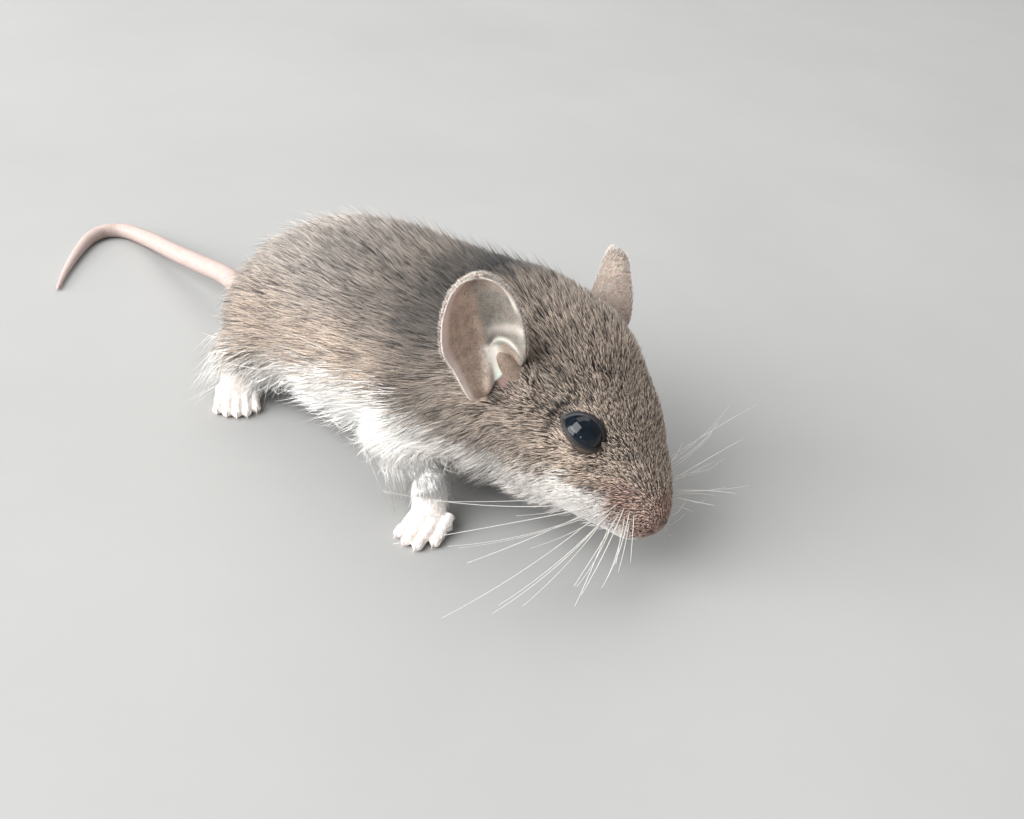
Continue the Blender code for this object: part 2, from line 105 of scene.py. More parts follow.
def unit(vectors: Array) -> Array:
    """Scale vectors to length 1."""
    size = np.linalg.norm(vectors, axis=-1, keepdims=True)
    return vectors / np.maximum(size, 1e-9)


def hump(value: Array, middle: float, width: float) -> Array:
    """A bell of height 1 around a middle."""
    return np.exp(-((value - middle) / width) ** 2)


def ripple(points: Array, size: float, seed: int) -> Array:
    """Soft seeded unevenness, about -1 to 1, with blobs of the given size.

    Args:
        points: Places in millimetres, one a row.
        size: Distance from one swell to the next.
        seed: Chooses the pattern.

    Returns:
        One value a point.
    """
    chance = np.random.default_rng(seed)
    waves = 9
    directions = unit(chance.normal(size=(waves, 3)))
    speed = 2.0 * math.pi / size * chance.uniform(0.6, 1.5, waves)
    phase = chance.uniform(0.0, 2.0 * math.pi, waves)
    swell = np.sin(points @ (directions * speed[:, None]).T + phase)
    return swell.sum(axis=1) / math.sqrt(waves)


def curve_through(knots: Array, steps: int) -> Array:
    """Draw a smooth curve (Catmull-Rom) through knots.

    Args:
        knots: Places, one a row.
        steps: How many steps lie between two knots.

    Returns:
        The places along the curve.
    """
    knots = np.asarray(knots, float)
    last = len(knots) - 1
    t = np.arange(steps)[:, None] / steps
    parts = []
    for i in range(last):
        a, b, c, d = (knots[min(max(j, 0), last)] for j in (i - 1, i, i + 1, i + 2))
        parts.append(0.5 * (2 * b + (c - a) * t + (2 * a - 5 * b + 4 * c - d) * t ** 2
                            + (3 * b - a - 3 * c + d) * t ** 3))
    return np.vstack(parts + [knots[last][None]])


def distance_to_path(points: Array, path: Array) -> Array:
    """Distance from each point to a polyline."""
    best = np.full(len(points), np.inf)
    for a, b in zip(path[:-1], path[1:]):
        along = b - a
        t = np.clip((points - a) @ along / max(along @ along, 1e-9), 0.0, 1.0)
        best = np.minimum(best, np.linalg.norm(points - a - t[:, None] * along, axis=1))
    return best


# ---- meshes ----

def link_new(name: str, data: bpy.types.ID) -> Thing:
    """Make an object of a mesh, lamp or camera and link it to the scene."""
    thing = bpy.data.objects.new(name, data)
    bpy.context.scene.collection.objects.link(thing)
    return thing


def new_object(name: str, points: Array, faces: list) -> Thing:
    """Make a smooth mesh object.

    Args:
        name: The piece's name.
        points: Corner places in millimetres.
        faces: Arrays of faces, each of shape (count, corners).

    Returns:
        The object, linked to the scene, still in millimetres.
    """
    mesh = bpy.data.meshes.new(name)
    mesh.vertices.add(len(points))
    mesh.vertices.foreach_set("co", np.ascontiguousarray(points, np.float32).ravel())
    corners = np.concatenate([np.asarray(group, np.int32).ravel() for group in faces])
    sizes = np.concatenate([np.full(len(group), np.shape(group)[1]) for group in faces])
    mesh.loops.add(len(corners))
    mesh.loops.foreach_set("vertex_index", corners)
    mesh.polygons.add(len(sizes))
    starts = np.concatenate([[0], np.cumsum(sizes)[:-1]]).astype(np.int32)
    mesh.polygons.foreach_set("loop_start", starts)
    mesh.update(calc_edges=True)
    mesh.validate()
    mesh.shade_smooth()
    return link_new(name, mesh)


def read_points(mesh: Mesh, what: str = "co") -> Array:
    """The places of a mesh's corners, or their smooth normals when `what` is "normal"."""
    values = np.empty(len(mesh.vertices) * 3, np.float32)
    mesh.vertices.foreach_get(what, values)
    return values.reshape(-1, 3).astype(float)


def read_triangles(mesh: Mesh) -> Array:
    """The faces of a mesh as triangles of corner numbers."""
    mesh.calc_loop_triangles()
    corners = np.empty(len(mesh.loop_triangles) * 3, np.int32)
    mesh.loop_triangles.foreach_get("vertices", corners)
    return corners.reshape(-1, 3)


def write_points(mesh: Mesh, points: Array) -> None:
    """Move a mesh's corners."""
    mesh.vertices.foreach_set("co", np.ascontiguousarray(points, np.float32).ravel())
    mesh.update()


def relax(mesh: Mesh, points: Array, share: Array, passes: int) -> Array:
    """Even out corners among their neighbours.

    Args:
        mesh: The mesh, whose edges tell the neighbours.
        points: Where its corners are now.
        share: How far each may move, 0 to 1.
        passes: How many times to even out.

    Returns:
        The corners' new places.
    """
    ends = np.empty(len(mesh.edges) * 2, np.int32)
    mesh.edges.foreach_get("vertices", ends)
    first, second = ends[0::2], ends[1::2]
    here, there = np.concatenate([first, second]), np.concatenate([second, first])
    used = share[here] > 0
    here, there = here[used], there[used]
    count = np.maximum(np.bincount(here, minlength=len(points)), 1)
    for _ in range(passes):
        mean = np.stack([np.bincount(here, weights=points[there, k], minlength=len(points))
                         for k in range(3)], axis=1) / count[:, None]
        points = mix(points, mean, 0.7 * share)
    return points


def mark(mesh: Mesh, name: str, values: Array) -> None:
    """Store one number a corner, for a material to read."""
    layer = mesh.attributes.get(name) or mesh.attributes.new(name, "FLOAT", "POINT")
    layer.data.foreach_set("value", np.ascontiguousarray(values, np.float32))


def read_mark(mesh: Mesh, name: str) -> Array:
    """Read back the numbers that `mark` stored, or zeros if it stored none."""
    values = np.zeros(len(mesh.vertices), np.float32)
    layer = mesh.attributes.get(name)
    if layer:
        layer.data.foreach_get("value", values)
    return values


def bake(thing: Thing) -> Thing:
    """Apply an object's modifiers and leave it with a plain mesh."""
    graph = bpy.context.evaluated_depsgraph_get()
    mesh = bpy.data.meshes.new_from_object(thing.evaluated_get(graph))
    thing.modifiers.clear()
    old, thing.data = thing.data, mesh
    bpy.data.meshes.remove(old)
    return thing


def remesh(thing: Thing, voxel: float, passes: int) -> Thing:
    """Melt a mesh's shells into one even skin, then soften it by some passes."""
    melt = thing.modifiers.new("melt", "REMESH")
    melt.mode = "VOXEL"
    melt.voxel_size = voxel
    soften = thing.modifiers.new("soften", "SMOOTH")
    soften.factor = 0.5
    soften.iterations = passes
    return bake(thing)


def join_meshes(name: str, sources: list) -> Thing:
    """Join objects into one new object without materials, and drop the objects."""
    work = bmesh.new()
    for source in sources:
        work.from_mesh(source.data)
        mesh = source.data
        bpy.data.objects.remove(source, do_unlink=True)
        bpy.data.meshes.remove(mesh)
    mesh = bpy.data.meshes.new(name)
    work.to_mesh(mesh)
    work.free()
    return link_new(name, mesh)


def ball(middle: Array, radii: Array, axes: Array = np.eye(3), rows: int = 14,
         columns: int = 20) -> tuple:
    """Make an ellipsoid.

    Args:
        middle: Its middle.
        radii: Its three half sizes.
        axes: Their directions, one a row.
        rows: Steps from pole to pole.
        columns: Steps round it.

    Returns:
        Its points and its faces.
    """
    lift = np.linspace(-math.pi / 2, math.pi / 2, rows + 1)[1:-1]
    turn = np.linspace(0, 2 * math.pi, columns, endpoint=False)
    ring = np.stack([np.outer(np.cos(lift), np.cos(turn)),
                     np.outer(np.cos(lift), np.sin(turn)),
                     np.repeat(np.sin(lift)[:, None], columns, axis=1)], axis=2)
    local = np.vstack([ring.reshape(-1, 3), [[0, 0, -1], [0, 0, 1]]]) * radii
    return np.asarray(middle) + local @ np.asarray(axes), tube_faces(rows - 1, columns)


def tube_faces(rings: int, columns: int) -> list:
    """Join rings of corners, and the two end corners listed after them, with faces.

    Args:
        rings: How many rings there are.
        columns: Corners in a ring.

    Returns:
        The faces between the rings and those of the two ends.
    """
    ring = np.arange(rings * columns).reshape(rings, columns)
    after = np.roll(ring, -1, axis=1)
    first, last = np.full(columns, ring.size), np.full(columns, ring.size + 1)
    quads = np.stack([ring[:-1], after[:-1], after[1:], ring[1:]], axis=2).reshape(-1, 4)
    return [quads, np.stack([first, after[0], ring[0]], axis=1),
            np.stack([last, ring[-1], after[-1]], axis=1)]


def tube(path: Array, across: Array, upright: Array, above: Array, columns: int) -> tuple:
    """Points and faces of a closed tube.

    Args:
        path: Middles of its rings.
        across: Half widths of the rings.
        upright: Half heights of the rings.
        above: The direction that the rings' height follows.
        columns: Corners in a ring.

    Returns:
        Its points and its faces.
    """
    ahead = unit(np.gradient(path, axis=0))
    side = unit(np.cross(above, ahead))
    lift = np.cross(ahead, side)
    turn = np.linspace(0, 2 * math.pi, columns, endpoint=False)
    rings = (path[:, None] + side[:, None] * np.cos(turn)[None, :, None] * across[:, None, None]
             + lift[:, None] * np.sin(turn)[None, :, None] * upright[:, None, None])
    tips = [path[0] - ahead[0] * across[0] * 0.35, path[-1] + ahead[-1] * across[-1] * 0.35]
    return np.vstack([rings.reshape(-1, 3), tips]), tube_faces(len(path), columns)


def join_tubes(name: str, tubes: list) -> Thing:
    """Make one piece of several closed tubes.

    Args:
        name: The piece's name.
        tubes: The points, the faces and the shares along of each tube.

    Returns:
        The piece, marked with how far along its tube each corner is.
    """
    points, faces, along, count = [], [], [], 0
    for shape, shape_faces, steps in tubes:
        points.append(shape)
        faces.append([group + count for group in shape_faces])
        along.append(np.concatenate([np.repeat(steps, len(shape) // len(steps)), [0.0, 1.0]]))
        count += len(shape)
    groups = [np.vstack([part[i] for part in faces]) for i in range(3)]
    piece = new_object(name, np.vstack(points), groups)
    mark(piece.data, "along", np.concatenate(along))
    return piece


# ---- the pose, read from the frame ----

@dataclass(frozen=True)
class Pose:
    """Where the body stands and how the head is held, read from the frame's eyes."""

    origin: Array
    nose: Array
    forward: Array
    left: Array
    up: Array
    eyes: dict
    opening: tuple = (1.27, 0.70, 0.47)  # of the lids: half length, above, below, radians
    pivot: tuple = (17.2, 1.7, 16.1)     # between the ears: forward, left, up
    pivot_to_nose: float = 19.5
    pivot_above_nose: float = 3.5
    eye_sink: float = 0.18     # how much deeper the eyes lie than the frame's
    head_turn: tuple = (-3.0, 20.0, 14.0)    # to the left, down and right side up, degrees
    nose_to_eyes: tuple = (10.085, 4.762)    # from the nose tip back and up to their middle

    @classmethod
    def from_frame(cls) -> "Pose":
        """Measure the pose, in millimetres."""
        leftward, downward, sideward = (math.radians(angle) for angle in cls.head_turn)
        turn = (Matrix.Rotation(leftward, 3, "Z") @ Matrix.Rotation(downward, 3, "X")
                @ Matrix.Rotation(sideward, 3, "Y"))
        forward, left, up = (np.array(turn @ Vector(axis))
                             for axis in ((0, -1, 0), (1, 0, 0), (0, 0, 1)))
        eyes = {}
        for side in Side:
            low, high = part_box(f"eye_{side.word}")
            eyes[side] = np.array((low + high) / 2) / MM
        back, above = cls.nose_to_eyes
        nose = sum(eyes.values()) / 2 + forward * back - up * above
        ahead, aside, above = cls.pivot
        bare = (np.array([aside, -ahead, above]) + forward * cls.pivot_to_nose
                - up * cls.pivot_above_nose)
        pose = cls(nose - bare, nose, forward, left, up, eyes)
        for side in Side:
            eyes[side] = eyes[side] - pose.eye_axes(side)[0] * cls.eye_sink
        return pose

    def spot(self, ahead: float, aside: float, above: float) -> Array:
        """A place given forward, left and up of the body."""
        return self.origin + np.array([aside, -ahead, above])

    def head_spot(self, back: float, aside: float, above: float) -> Array:
        """A place on the head, back, left and up from the nose tip."""
        return self.nose - self.forward * back + self.left * aside + self.up * above

    def body_of(self, points: Array) -> Array:
        """Turn places into forward, left and up of the body."""
        away = points - self.origin
        return np.stack([-away[:, 1], away[:, 0], away[:, 2]], axis=1)

    def head_of(self, points: Array) -> Array:
        """Turn places into back, left and up from the nose tip."""
        away = points - self.nose
        return np.stack([-away @ self.forward, away @ self.left, away @ self.up], axis=1)

    def eye_axes(self, side: Side) -> tuple:
        """Outward, forward and upward directions of an eye and its lids."""
        outward = unit(self.left * side.value * 0.80 + self.up * 0.52 + self.forward * 0.30)
        ahead = self.forward * 4.1 - self.left * side.value * 1.8 - self.up * 0.25
        ahead = unit(ahead - outward * (ahead @ outward))
        above = np.cross(outward, ahead)
        return outward, ahead, above * math.copysign(1.0, above @ self.up)

    def lid_gap(self, points: Array, side: Side) -> tuple:
        """How far points lie outside the almond between an eye's lids.

        Args:
            points: Places near the eye.
            side: Which eye.

        Returns:
            The gap in radians seen from the ball's middle (negative inside the almond),
            the height above the almond's long axis, and how far the points face outwards.
        """
        outward, ahead, above = self.eye_axes(side)
        direction = unit(points - self.eyes[side])
        facing = direction @ outward
        angle = np.arccos(np.clip(facing, -1, 1))
        turn = np.arctan2(direction @ above, direction @ ahead)
        x, y = angle * np.cos(turn), angle * np.sin(turn)
        length, upper, lower = self.opening
        gaps = []
        for bulge, way in ((upper, 1.0), (lower, -1.0)):
            bow = (length ** 2 + bulge ** 2) / (2.0 * bulge)
            gaps.append(np.hypot(x, y - way * (bulge - bow)) - bow)
        apart = gaps[0] - gaps[1]
        return 0.5 * (gaps[0] + gaps[1] + np.hypot(apart, 0.04)), y, facing


@dataclass(frozen=True)
class Limb:
    """What the two forelegs share, or the two hind legs, in millimetres."""

    elbow: tuple          # or knee: forward, outward and up
    coat_top: tuple       # heights where the leg's coat begins and is all its own
    coat_reach: float     # of that coat, from the leg's middle line
    digits: int
    width: float
    spread: float         # between the outermost digits, in radians
    outer: float          # length of the outermost digit against its neighbours
    longer: float         # how far the digits reach past the middle toe tip
    behind: float         # how far behind the pads the digits begin
    root_height: float    # of the digits, against the pads'
    heel: float           # where the palm ends, as a share from pads to joint
    thickness: float      # of the digits, against the plain ones
    softening: int        # passes of smoothing


FORELEG = Limb(elbow=(6.6, 8.4, 6.9), coat_top=(8.0, 6.0), coat_reach=3.3, digits=4, width=4.1,
               spread=0.20, outer=0.62, longer=1.75, behind=1.5, root_height=1.25, heel=0.12,
               thickness=1.07, softening=2)
HIND_LEG = Limb(elbow=(-14.8, 7.0, 6.0), coat_top=(6.5, 4.5), coat_reach=4.4, digits=5,
                width=4.5, spread=0.26, outer=0.9, longer=0.55, behind=0.75, root_height=0.95,
                heel=0.0, thickness=1.0, softening=6)


@dataclass(frozen=True)
class Foot:
    """One foot: its joint, pads and middle toe tip, each forward, left and up."""

    name: str
    side: Side
    limb: Limb
    joint: tuple
    pads: tuple
    tip: tuple

    @property
    def elbow(self) -> tuple:
        """The joint above, elbow or knee: forward, left and up."""
        ahead, outward, above = self.limb.elbow
        return ahead, self.side.value * outward, above


FEET = (
    Foot("forefoot_right", Side.RIGHT, FORELEG,
         (13.1, -8.3, 4.2), (14.9, -10.1, 1.3), (15.5, -13.3, 0.4)),
    Foot("forefoot_left", Side.LEFT, FORELEG,
         (14.3, 8.8, 4.0), (16.5, 10.2, 1.3), (19.4, 12.0, 0.4)),
    Foot("hindfoot_right", Side.RIGHT, HIND_LEG,
         (-16.2, -7.2, 4.1), (-14.2, -9.3, 1.6), (-11.6, -11.6, 0.4)),
    Foot("hindfoot_left", Side.LEFT, HIND_LEG,
         (-16.4, 7.2, 4.1), (-14.2, 9.3, 1.6), (-11.0, 11.6, 0.4)),
)


# ---- the pelt: what the coat is like at each place ----

class Rows:
    """Arrays that tell of the same points, row by row."""

    def choose(self, which: Array) -> "Rows":
        """Only some of the rows."""
        return type(self)(*(getattr(self, key)[which] for key in self.__dataclass_fields__))


@dataclass
class Places(Rows):
    """Points with all that the pelt needs to know of where they lie."""

    points: Array
    back: Array        # on the head, from the nose tip
    aside: Array
    above: Array
    ahead: Array       # on the body
    left: Array
    height: Array
    on_head: Array     # 1 on the head, 0 on the trunk
    on_leg: Array
    on_foot: Array
    leg_down: Array    # direction down the nearest leg, then along the toes
    lid_gap: Array     # outside the nearest lids, radians
    ear_gap: Array     # outside the opening of the nearest ear, 1 at its edge
    side: Array        # -1 right, 1 left


@dataclass
class Pelt:
    """Depth, length, lift, lie, colour and density of the coat.

    Each method after `read` takes the places that `read` sorts out and gives one value,
    or one direction, for each of them.
    """

    pose: Pose
    ears: "Ears"
    ear_opening: tuple = (1.6, 1.0, 1.3, 1.7)   # middle and half sizes, across and up

    def read(self, points: Array) -> Places:
        """Sort out where points lie.

        Args:
            points: Places in millimetres.

        Returns:
            All that the pelt needs to know of them.
        """
        head, body = self.pose.head_of(points), self.pose.body_of(points)
        on_leg, on_foot = np.zeros(len(points)), np.zeros(len(points))
        down = np.tile([0.0, 0.0, -1.0], (len(points), 1))
        for foot in FEET:
            elbow, joint, pads, tip = (self.pose.spot(*place) for place in (
                foot.elbow, foot.joint, foot.pads, foot.tip))
            gap = distance_to_path(points, [elbow, joint, pads, tip])
            low = smooth(*foot.limb.coat_top, body[:, 2])
            share = smooth(foot.limb.coat_reach, 2.4, gap) * low
            past = (points - joint) @ unit(pads - joint)
            toes = smooth(0.5, 3.5, past)
            towards = unit(mix(np.tile(unit(pads - elbow), (len(points), 1)),
                               unit(tip - pads), toes))
            down = np.where((share > on_leg)[:, None], towards, down)
            on_foot = np.maximum(on_foot, smooth(3.4, 3.0, gap) * smooth(0.3, 1.6, past))
            on_leg = np.maximum(on_leg, share)
        lids = np.full(len(points), 9.0)
        for side, eye in self.pose.eyes.items():
            gap, _, facing = self.pose.lid_gap(points, side)
            radius = np.linalg.norm(points - eye, axis=1)
            gap = gap + 1.5 * smooth(2.3, 3.6, radius) + 1.5 * smooth(0.1, -0.5, facing)
            lids = np.where(radius < 5.0, np.minimum(lids, gap), lids)
        opening = np.full(len(points), 9.0)
        across, above, wide, high = self.ear_opening
        for side in Side:
            root, axis, facing, front = self.ears.axes(side)
            away = points - root
            gap = np.hypot((away @ front - across) / wide, (away @ axis - above) / high)
            opening = np.minimum(opening, np.hypot(gap, (away @ facing) / 5.0))
        return Places(points, *head.T, *body.T, smooth(27.0, 19.0, head[:, 0]), on_leg,
                      on_foot, down, lids, opening, np.where(body[:, 1] < 0, -1.0, 1.0))

    def depth(self, at: Places) -> Array:
        """How far the skin lies under the tips of the coat."""
        head = np.interp(at.back, [0, 2, 4, 7, 11, 16, 22], [.08, .15, .30, .55, .9, 1.15, 1.4])
        under = smooth(-1.0, -4.0, at.above) * smooth(16.0, 9.0, at.back)
        head = mix(head, np.minimum(head, 0.6), under)
        trunk = np.interp(at.ahead, [-24, -19, -12, 0, 12, 20], [.9, 1.5, 1.6, 1.6, 1.5, 1.4])
        trunk = mix(trunk, 1.15, smooth(6.0, 3.0, at.height))
        depth = mix(trunk, head, at.on_head)
        depth = mix(depth, 0.34, at.on_leg)
        depth = mix(depth, 0.10, at.on_foot)
        depth = mix(depth, 0.35, smooth(2.3, 1.2, at.ear_gap))
        return mix(depth, 0.14, smooth(1.3, 0.25, at.lid_gap))

    def lift(self, at: Places) -> Array:
        """Angle between a hair and the skin, in degrees."""
        top = smooth(2.0, 7.5, at.above)
        crown = np.interp(at.back, [0, 3, 8, 14, 20, 26], [30, 40, 50, 50, 44, 34])
        side = np.interp(at.back, [0, 4, 10, 18, 26], [22, 30, 36, 34, 28])
        head = mix(side, crown, top)
        head = mix(head, 24.0, smooth(-1.0, -3.5, at.above))
        trunk = np.interp(at.height, [3, 8, 14, 20], [24, 19, 21, 31])
        lift = mix(trunk, head, at.on_head)
        return mix(lift, 15.0, np.maximum(at.on_leg, at.on_foot))

    def lie(self, at: Places, normals: Array) -> Array:
        """Direction in which the hairs lie along the skin, whose normals are given."""
        pose = self.pose
        low = smooth(5.0, -3.0, at.above)
        outward = np.sign(at.aside)[:, None] * pose.left
        head = (-pose.forward * (1.0 - 0.6 * low)[:, None]
                - pose.up * (0.10 + 0.85 * low)[:, None] + outward * (0.15 * low)[:, None])
        falling = np.interp(at.height, [3, 5.5, 8, 12, 18], [1.5, 0.9, 0.5, 0.3, 0.1])
        falling = falling + 0.35 * smooth(-13.0, -20.0, at.ahead)
        falling = falling + 1.6 * smooth(6.0, 12.0, at.ahead) * smooth(10.5, 7.0, at.height)
        trunk = np.array([0.0, 1.0, 0.0]) - UP * falling[:, None]
        lie = mix(unit(trunk), unit(head), at.on_head)
        from_nose = at.points - pose.head_spot(0.7, 0.0, -0.1)
        lie = mix(lie, unit(from_nose), smooth(3.6, 1.8, np.linalg.norm(from_nose, axis=1)))
        lie = mix(lie, at.leg_down, np.maximum(at.on_leg, at.on_foot))
        swirl = np.stack([ripple(at.points, 7.0, 11 + axis) for axis in range(3)], axis=1)
        lie = lie + 0.12 * swirl
        lie = lie - normals * np.sum(lie * normals, axis=1)[:, None]
        return unit(lie)

    def least_length(self, at: Places) -> Array:
        """Shortest that a hair may be, however thin the coat is."""
        head = np.interp(at.back, [0, 3, 7, 12, 20], [0.40, 0.62, 0.85, 1.1, 1.5])
        length = mix(1.9, head, at.on_head)
        length = mix(length, 1.25, at.on_leg)
        length = mix(length, 0.45, at.on_foot)
        length = mix(length, 0.65, smooth(2.0, 1.1, at.ear_gap))
        return mix(length, 0.6, smooth(0.7, 0.2, at.lid_gap))

    def stray_share(self, at: Places) -> Array:
        """Share of longer hairs that stand out of the coat."""
        trunk = 0.035 + 0.11 * smooth(9.0, 5.0, at.height) + 0.03 * smooth(17, 21, at.height)
        trunk = trunk + 0.05 * smooth(-15.0, -20.0, at.ahead)
        head = 0.012 + 0.16 * smooth(-2.0, -4.5, at.above) * smooth(6.0, 10.0, at.back)
        return mix(mix(trunk, head, at.on_head), 0.02, at.on_leg)

    def above_line(self, at: Places) -> Array:
        """Height of a root above the edge of the white underside, in millimetres."""
        face = np.interp(at.back, [0, .7, 2.5, 4.9, 8.6, 13.0, 16.8, 22],
                         [-1.2, -.9, -.2, .9, .6, -1.2, -2.9, -4.2])
        flank = np.interp(at.ahead, [-24, -16, -12.1, -10, -3.6, 3.5, 9.5, 13.3, 17],
                          [7.0, 7.0, 7.0, 7.5, 9.7, 11.9, 11.5, 11.2, 11.4])
        line = mix(at.height - flank, at.above - face, at.on_head)
        limb = np.maximum(at.on_leg, at.on_foot)
        return mix(line, -4.0, limb)

    def whiteness(self, at: Places) -> Array:
        """1 on the white underside, 0 above its edge."""
        edge = self.above_line(at) + 0.35 * ripple(at.points, 2.4, 5)
        return smooth(0.7, -0.7, edge)

    def tone(self, at: Places) -> Array:
        """Lightness of the coat against its middle value: random unevenness, painted shade and
        painted light.
        """
        tone = 1.0 + 0.08 * ripple(at.points, 5.0, 21) + 0.05 * ripple(at.points, 1.8, 22)
        # partly painted shade: the head darkens from the nose back to the crown, and more on top
        top = smooth(3.0, 8.0, at.above) * at.on_head
        face = np.interp(at.back, [0, 3, 7, 11, 15, 20, 24],
                         [1.5, 1.06, 0.98, 0.90, 0.79, 0.66, 0.58])
        tone = tone * mix(1.0, face - 0.08 * top, at.on_head)
        # partly painted shade: the back behind the ears and the poll are darkened
        saddle_and_shade = smooth(14.5, 20.0, at.height) * smooth(-14.0, 9.0, at.ahead)
        poll = smooth(5.0, 13.0, at.ahead) * smooth(8.0, 11.5, at.height)
        tone = tone + (0.02 - 0.76 * saddle_and_shade - 0.60 * poll) * (1.0 - at.on_head)
        # painted light: the rump is made lighter
        tone = tone + 0.05 * smooth(-4.0, -19.0, at.ahead)
        spot = np.hypot(np.hypot(at.back - 5.6, at.above - 1.4), np.abs(at.aside) - 5.0)
        tone = tone - 0.4 * smooth(1.3, 0.4, spot) * at.on_head
        tone = tone + 0.16 * smooth(1.4, 0.5, at.lid_gap) * at.on_head
        tone = tone * mix(1.0, 0.95, at.on_head)
        return np.where(tone < 0.6, 0.6 - 0.6 * (0.6 - tone), tone)

    def hue(self, at: Places) -> Array:
        """1 where the hair is ashy (back and rump), -1 where it is rosy (muzzle)."""
        ashy = 0.65 * smooth(14.0, 19.0, at.height) * (1.0 - 0.7 * smooth(-2.0, 9.0, at.ahead))
        ashy = ashy + 0.10 + 0.20 * smooth(-6.0, -17.0, at.ahead)
        pad = hump(at.back, 3.6, 2.2) * smooth(4.2, 2.2, at.above) * smooth(-1.6, -0.4, at.above)
        rosy = np.maximum(pad, 0.8 * smooth(2.4, 1.0, at.back))
        return mix(np.minimum(ashy, 1.0), 0.15 - 1.15 * rosy, at.on_head)

    def bareness(self, at: Places) -> Array:
        """How far the skin shows through: the nose, lips, ear openings."""
        nose = 0.6 * smooth(1.0, 0.2, at.back) * smooth(-1.3, -0.5, at.above)
        side = hump(at.back, 3.2, 1.7) * smooth(-0.2, 0.8, at.above) * smooth(4.2, 2.6, at.above)
        face = np.clip(nose + 0.5 * side, 0, 1) * at.on_head
        return np.maximum(face, 0.5 * smooth(1.25, 0.8, at.ear_gap))

    def density(self, at: Places) -> Array:
        """Tufts to a square millimetre, before the coat's own scale."""
        density = mix(66.0, 104.0, at.on_head)
        density = mix(density, 150.0, smooth(9.0, 4.0, at.back) * at.on_head)
        density = mix(density, 120.0, at.on_leg)
        density = density * (1.0 - 0.35 * self.bareness(at))
        pad = np.hypot(np.hypot(at.back - 0.0, at.aside * 0.62), at.above + 0.2)
        density = density * mix(1.0, smooth(0.80, 1.10, pad), at.on_head)
        eye = self.pose.head_of(self.pose.eyes[Side.RIGHT][None])[0, 0]
        lid = at.lid_gap - 0.20 * smooth(eye - 0.3, eye - 1.6, at.back)
        density = density * smooth(0.10, 0.22, lid) * smooth(0.35, 0.8, at.ear_gap)
        dorsal = smooth(0.35, 0.9, at.height)
        return mix(density, 8.0 * dorsal, at.on_foot)


# ---- finishes ----

def srgb(red: int, green: int, blue: int) -> tuple:
    """A colour given as on a paint card, 0 to 255, in the shader's own numbers."""
    values = []
    for part in (red, green, blue):
        part /= 255.0
        values.append(part / 12.92 if part <= 0.04045 else ((part + 0.055) / 1.055) ** 2.4)
    return (*values, 1.0)


class Nodes:
    """A material under construction, with short ways to add its nodes."""

    def __init__(self, name: str) -> None:
        """Start a material with its Principled shader."""
        self.material = bpy.data.materials.new(name)
        self.material.use_nodes = True
        self.tree = self.material.node_tree
        self.shader = self.tree.nodes["Principled BSDF"]

    def add(self, kind: str, **settings: object) -> bpy.types.Node:
        """Add a node and set its properties."""
        node = self.tree.nodes.new(kind)
        for key, value in settings.items():
            setattr(node, key, value)
        return node

    def link(self, source: Socket, target: Socket) -> None:
        """Join two sockets."""
        self.tree.links.new(source, target)

    def feed(self, socket: Socket, given: object) -> None:
        """Give a socket what it reads: another socket or a fixed value."""
        if isinstance(given, Socket):
            self.link(given, socket)
        else:
            socket.default_value = given

    def value(self, name: str) -> Socket:
        """Read a number stored on the mesh."""
        return self.add("ShaderNodeAttribute", attribute_name=name).outputs["Fac"]

    def noise(self, per_mm: float, detail: float = 4.0, rough: float = 0.6) -> Socket:
        """Unevenness with a number of blobs to the millimetre."""
        node = self.add("ShaderNodeTexNoise")
        node.inputs["Scale"].default_value = per_mm / MM
        node.inputs["Detail"].default_value = detail
        node.inputs["Roughness"].default_value = rough
        self.link(self.add("ShaderNodeTexCoord").outputs["Object"], node.inputs["Vector"])
        return node.outputs["Fac"]

    def ramp(self, fac: Socket, stops: list) -> Socket:
        """Turn a number into a colour by (place, colour) stops."""
        node = self.add("ShaderNodeValToRGB")
        bar = node.color_ramp
        for place, _ in stops[2:]:
            bar.elements.new(place)
        for element, (place, colour) in zip(bar.elements, stops):
            element.position, element.color = place, colour
        self.link(fac, node.inputs["Fac"])
        return node.outputs["Color"]

    def blend(self, first: object, second: object, share: object,
              way: str = "MIX") -> Socket:
        """Mix two colours (sockets or fixed) by the share of the second."""
        node = self.add("ShaderNodeMix", data_type="RGBA", blend_type=way)
        for number, given in ((6, first), (7, second), (0, share)):
            self.feed(node.inputs[number], given)
        return node.outputs[2]

    def shade(self, colour: Socket, grain: Socket, reach: tuple,
              darkest: tuple) -> Socket:
        """Darken a colour where a grain is low: most at the first number of its reach."""
        ramp = self.ramp(grain, [(reach[0], darkest), (reach[1], srgb(255, 255, 255))])
        return self.blend(colour, ramp, 1.0, "MULTIPLY")

    def maths(self, way: str, first: object, second: object) -> Socket:
        """One step of arithmetic."""
        node = self.add("ShaderNodeMath", operation=way)
        self.feed(node.inputs[0], first)
        self.feed(node.inputs[1], second)
        return node.outputs[0]

    def grade(self, fac: Socket, low: float, high: float,
              start: float = 0.0, end: float = 1.0) -> Socket:
        """Stretch the numbers from low..high to start..end."""
        node = self.add("ShaderNodeMapRange")
        self.link(fac, node.inputs["Value"])
        for key, number in (("From Min", low), ("From Max", high), ("To Min", start),
                            ("To Max", end)):
            node.inputs[key].default_value = number
        return node.outputs["Result"]

    def bump(self, height: Socket, depth: float) -> None:
        """Give the surface a relief of a depth in millimetres."""
        node = self.add("ShaderNodeBump")
        node.inputs["Distance"].default_value = depth * MM
        self.link(height, node.inputs["Height"])
        self.link(node.outputs["Normal"], self.shader.inputs["Normal"])

    def finish(self, colour: Socket, rough: Socket,
               **fixed: object) -> Material:
        """Join colour and roughness to the shader and set its fixed values."""
        self.link(colour, self.shader.inputs["Base Color"])
        self.link(rough, self.shader.inputs["Roughness"])
        for key, value in fixed.items():
            self.shader.inputs[key.replace("_", " ")].default_value = value
        return self.material


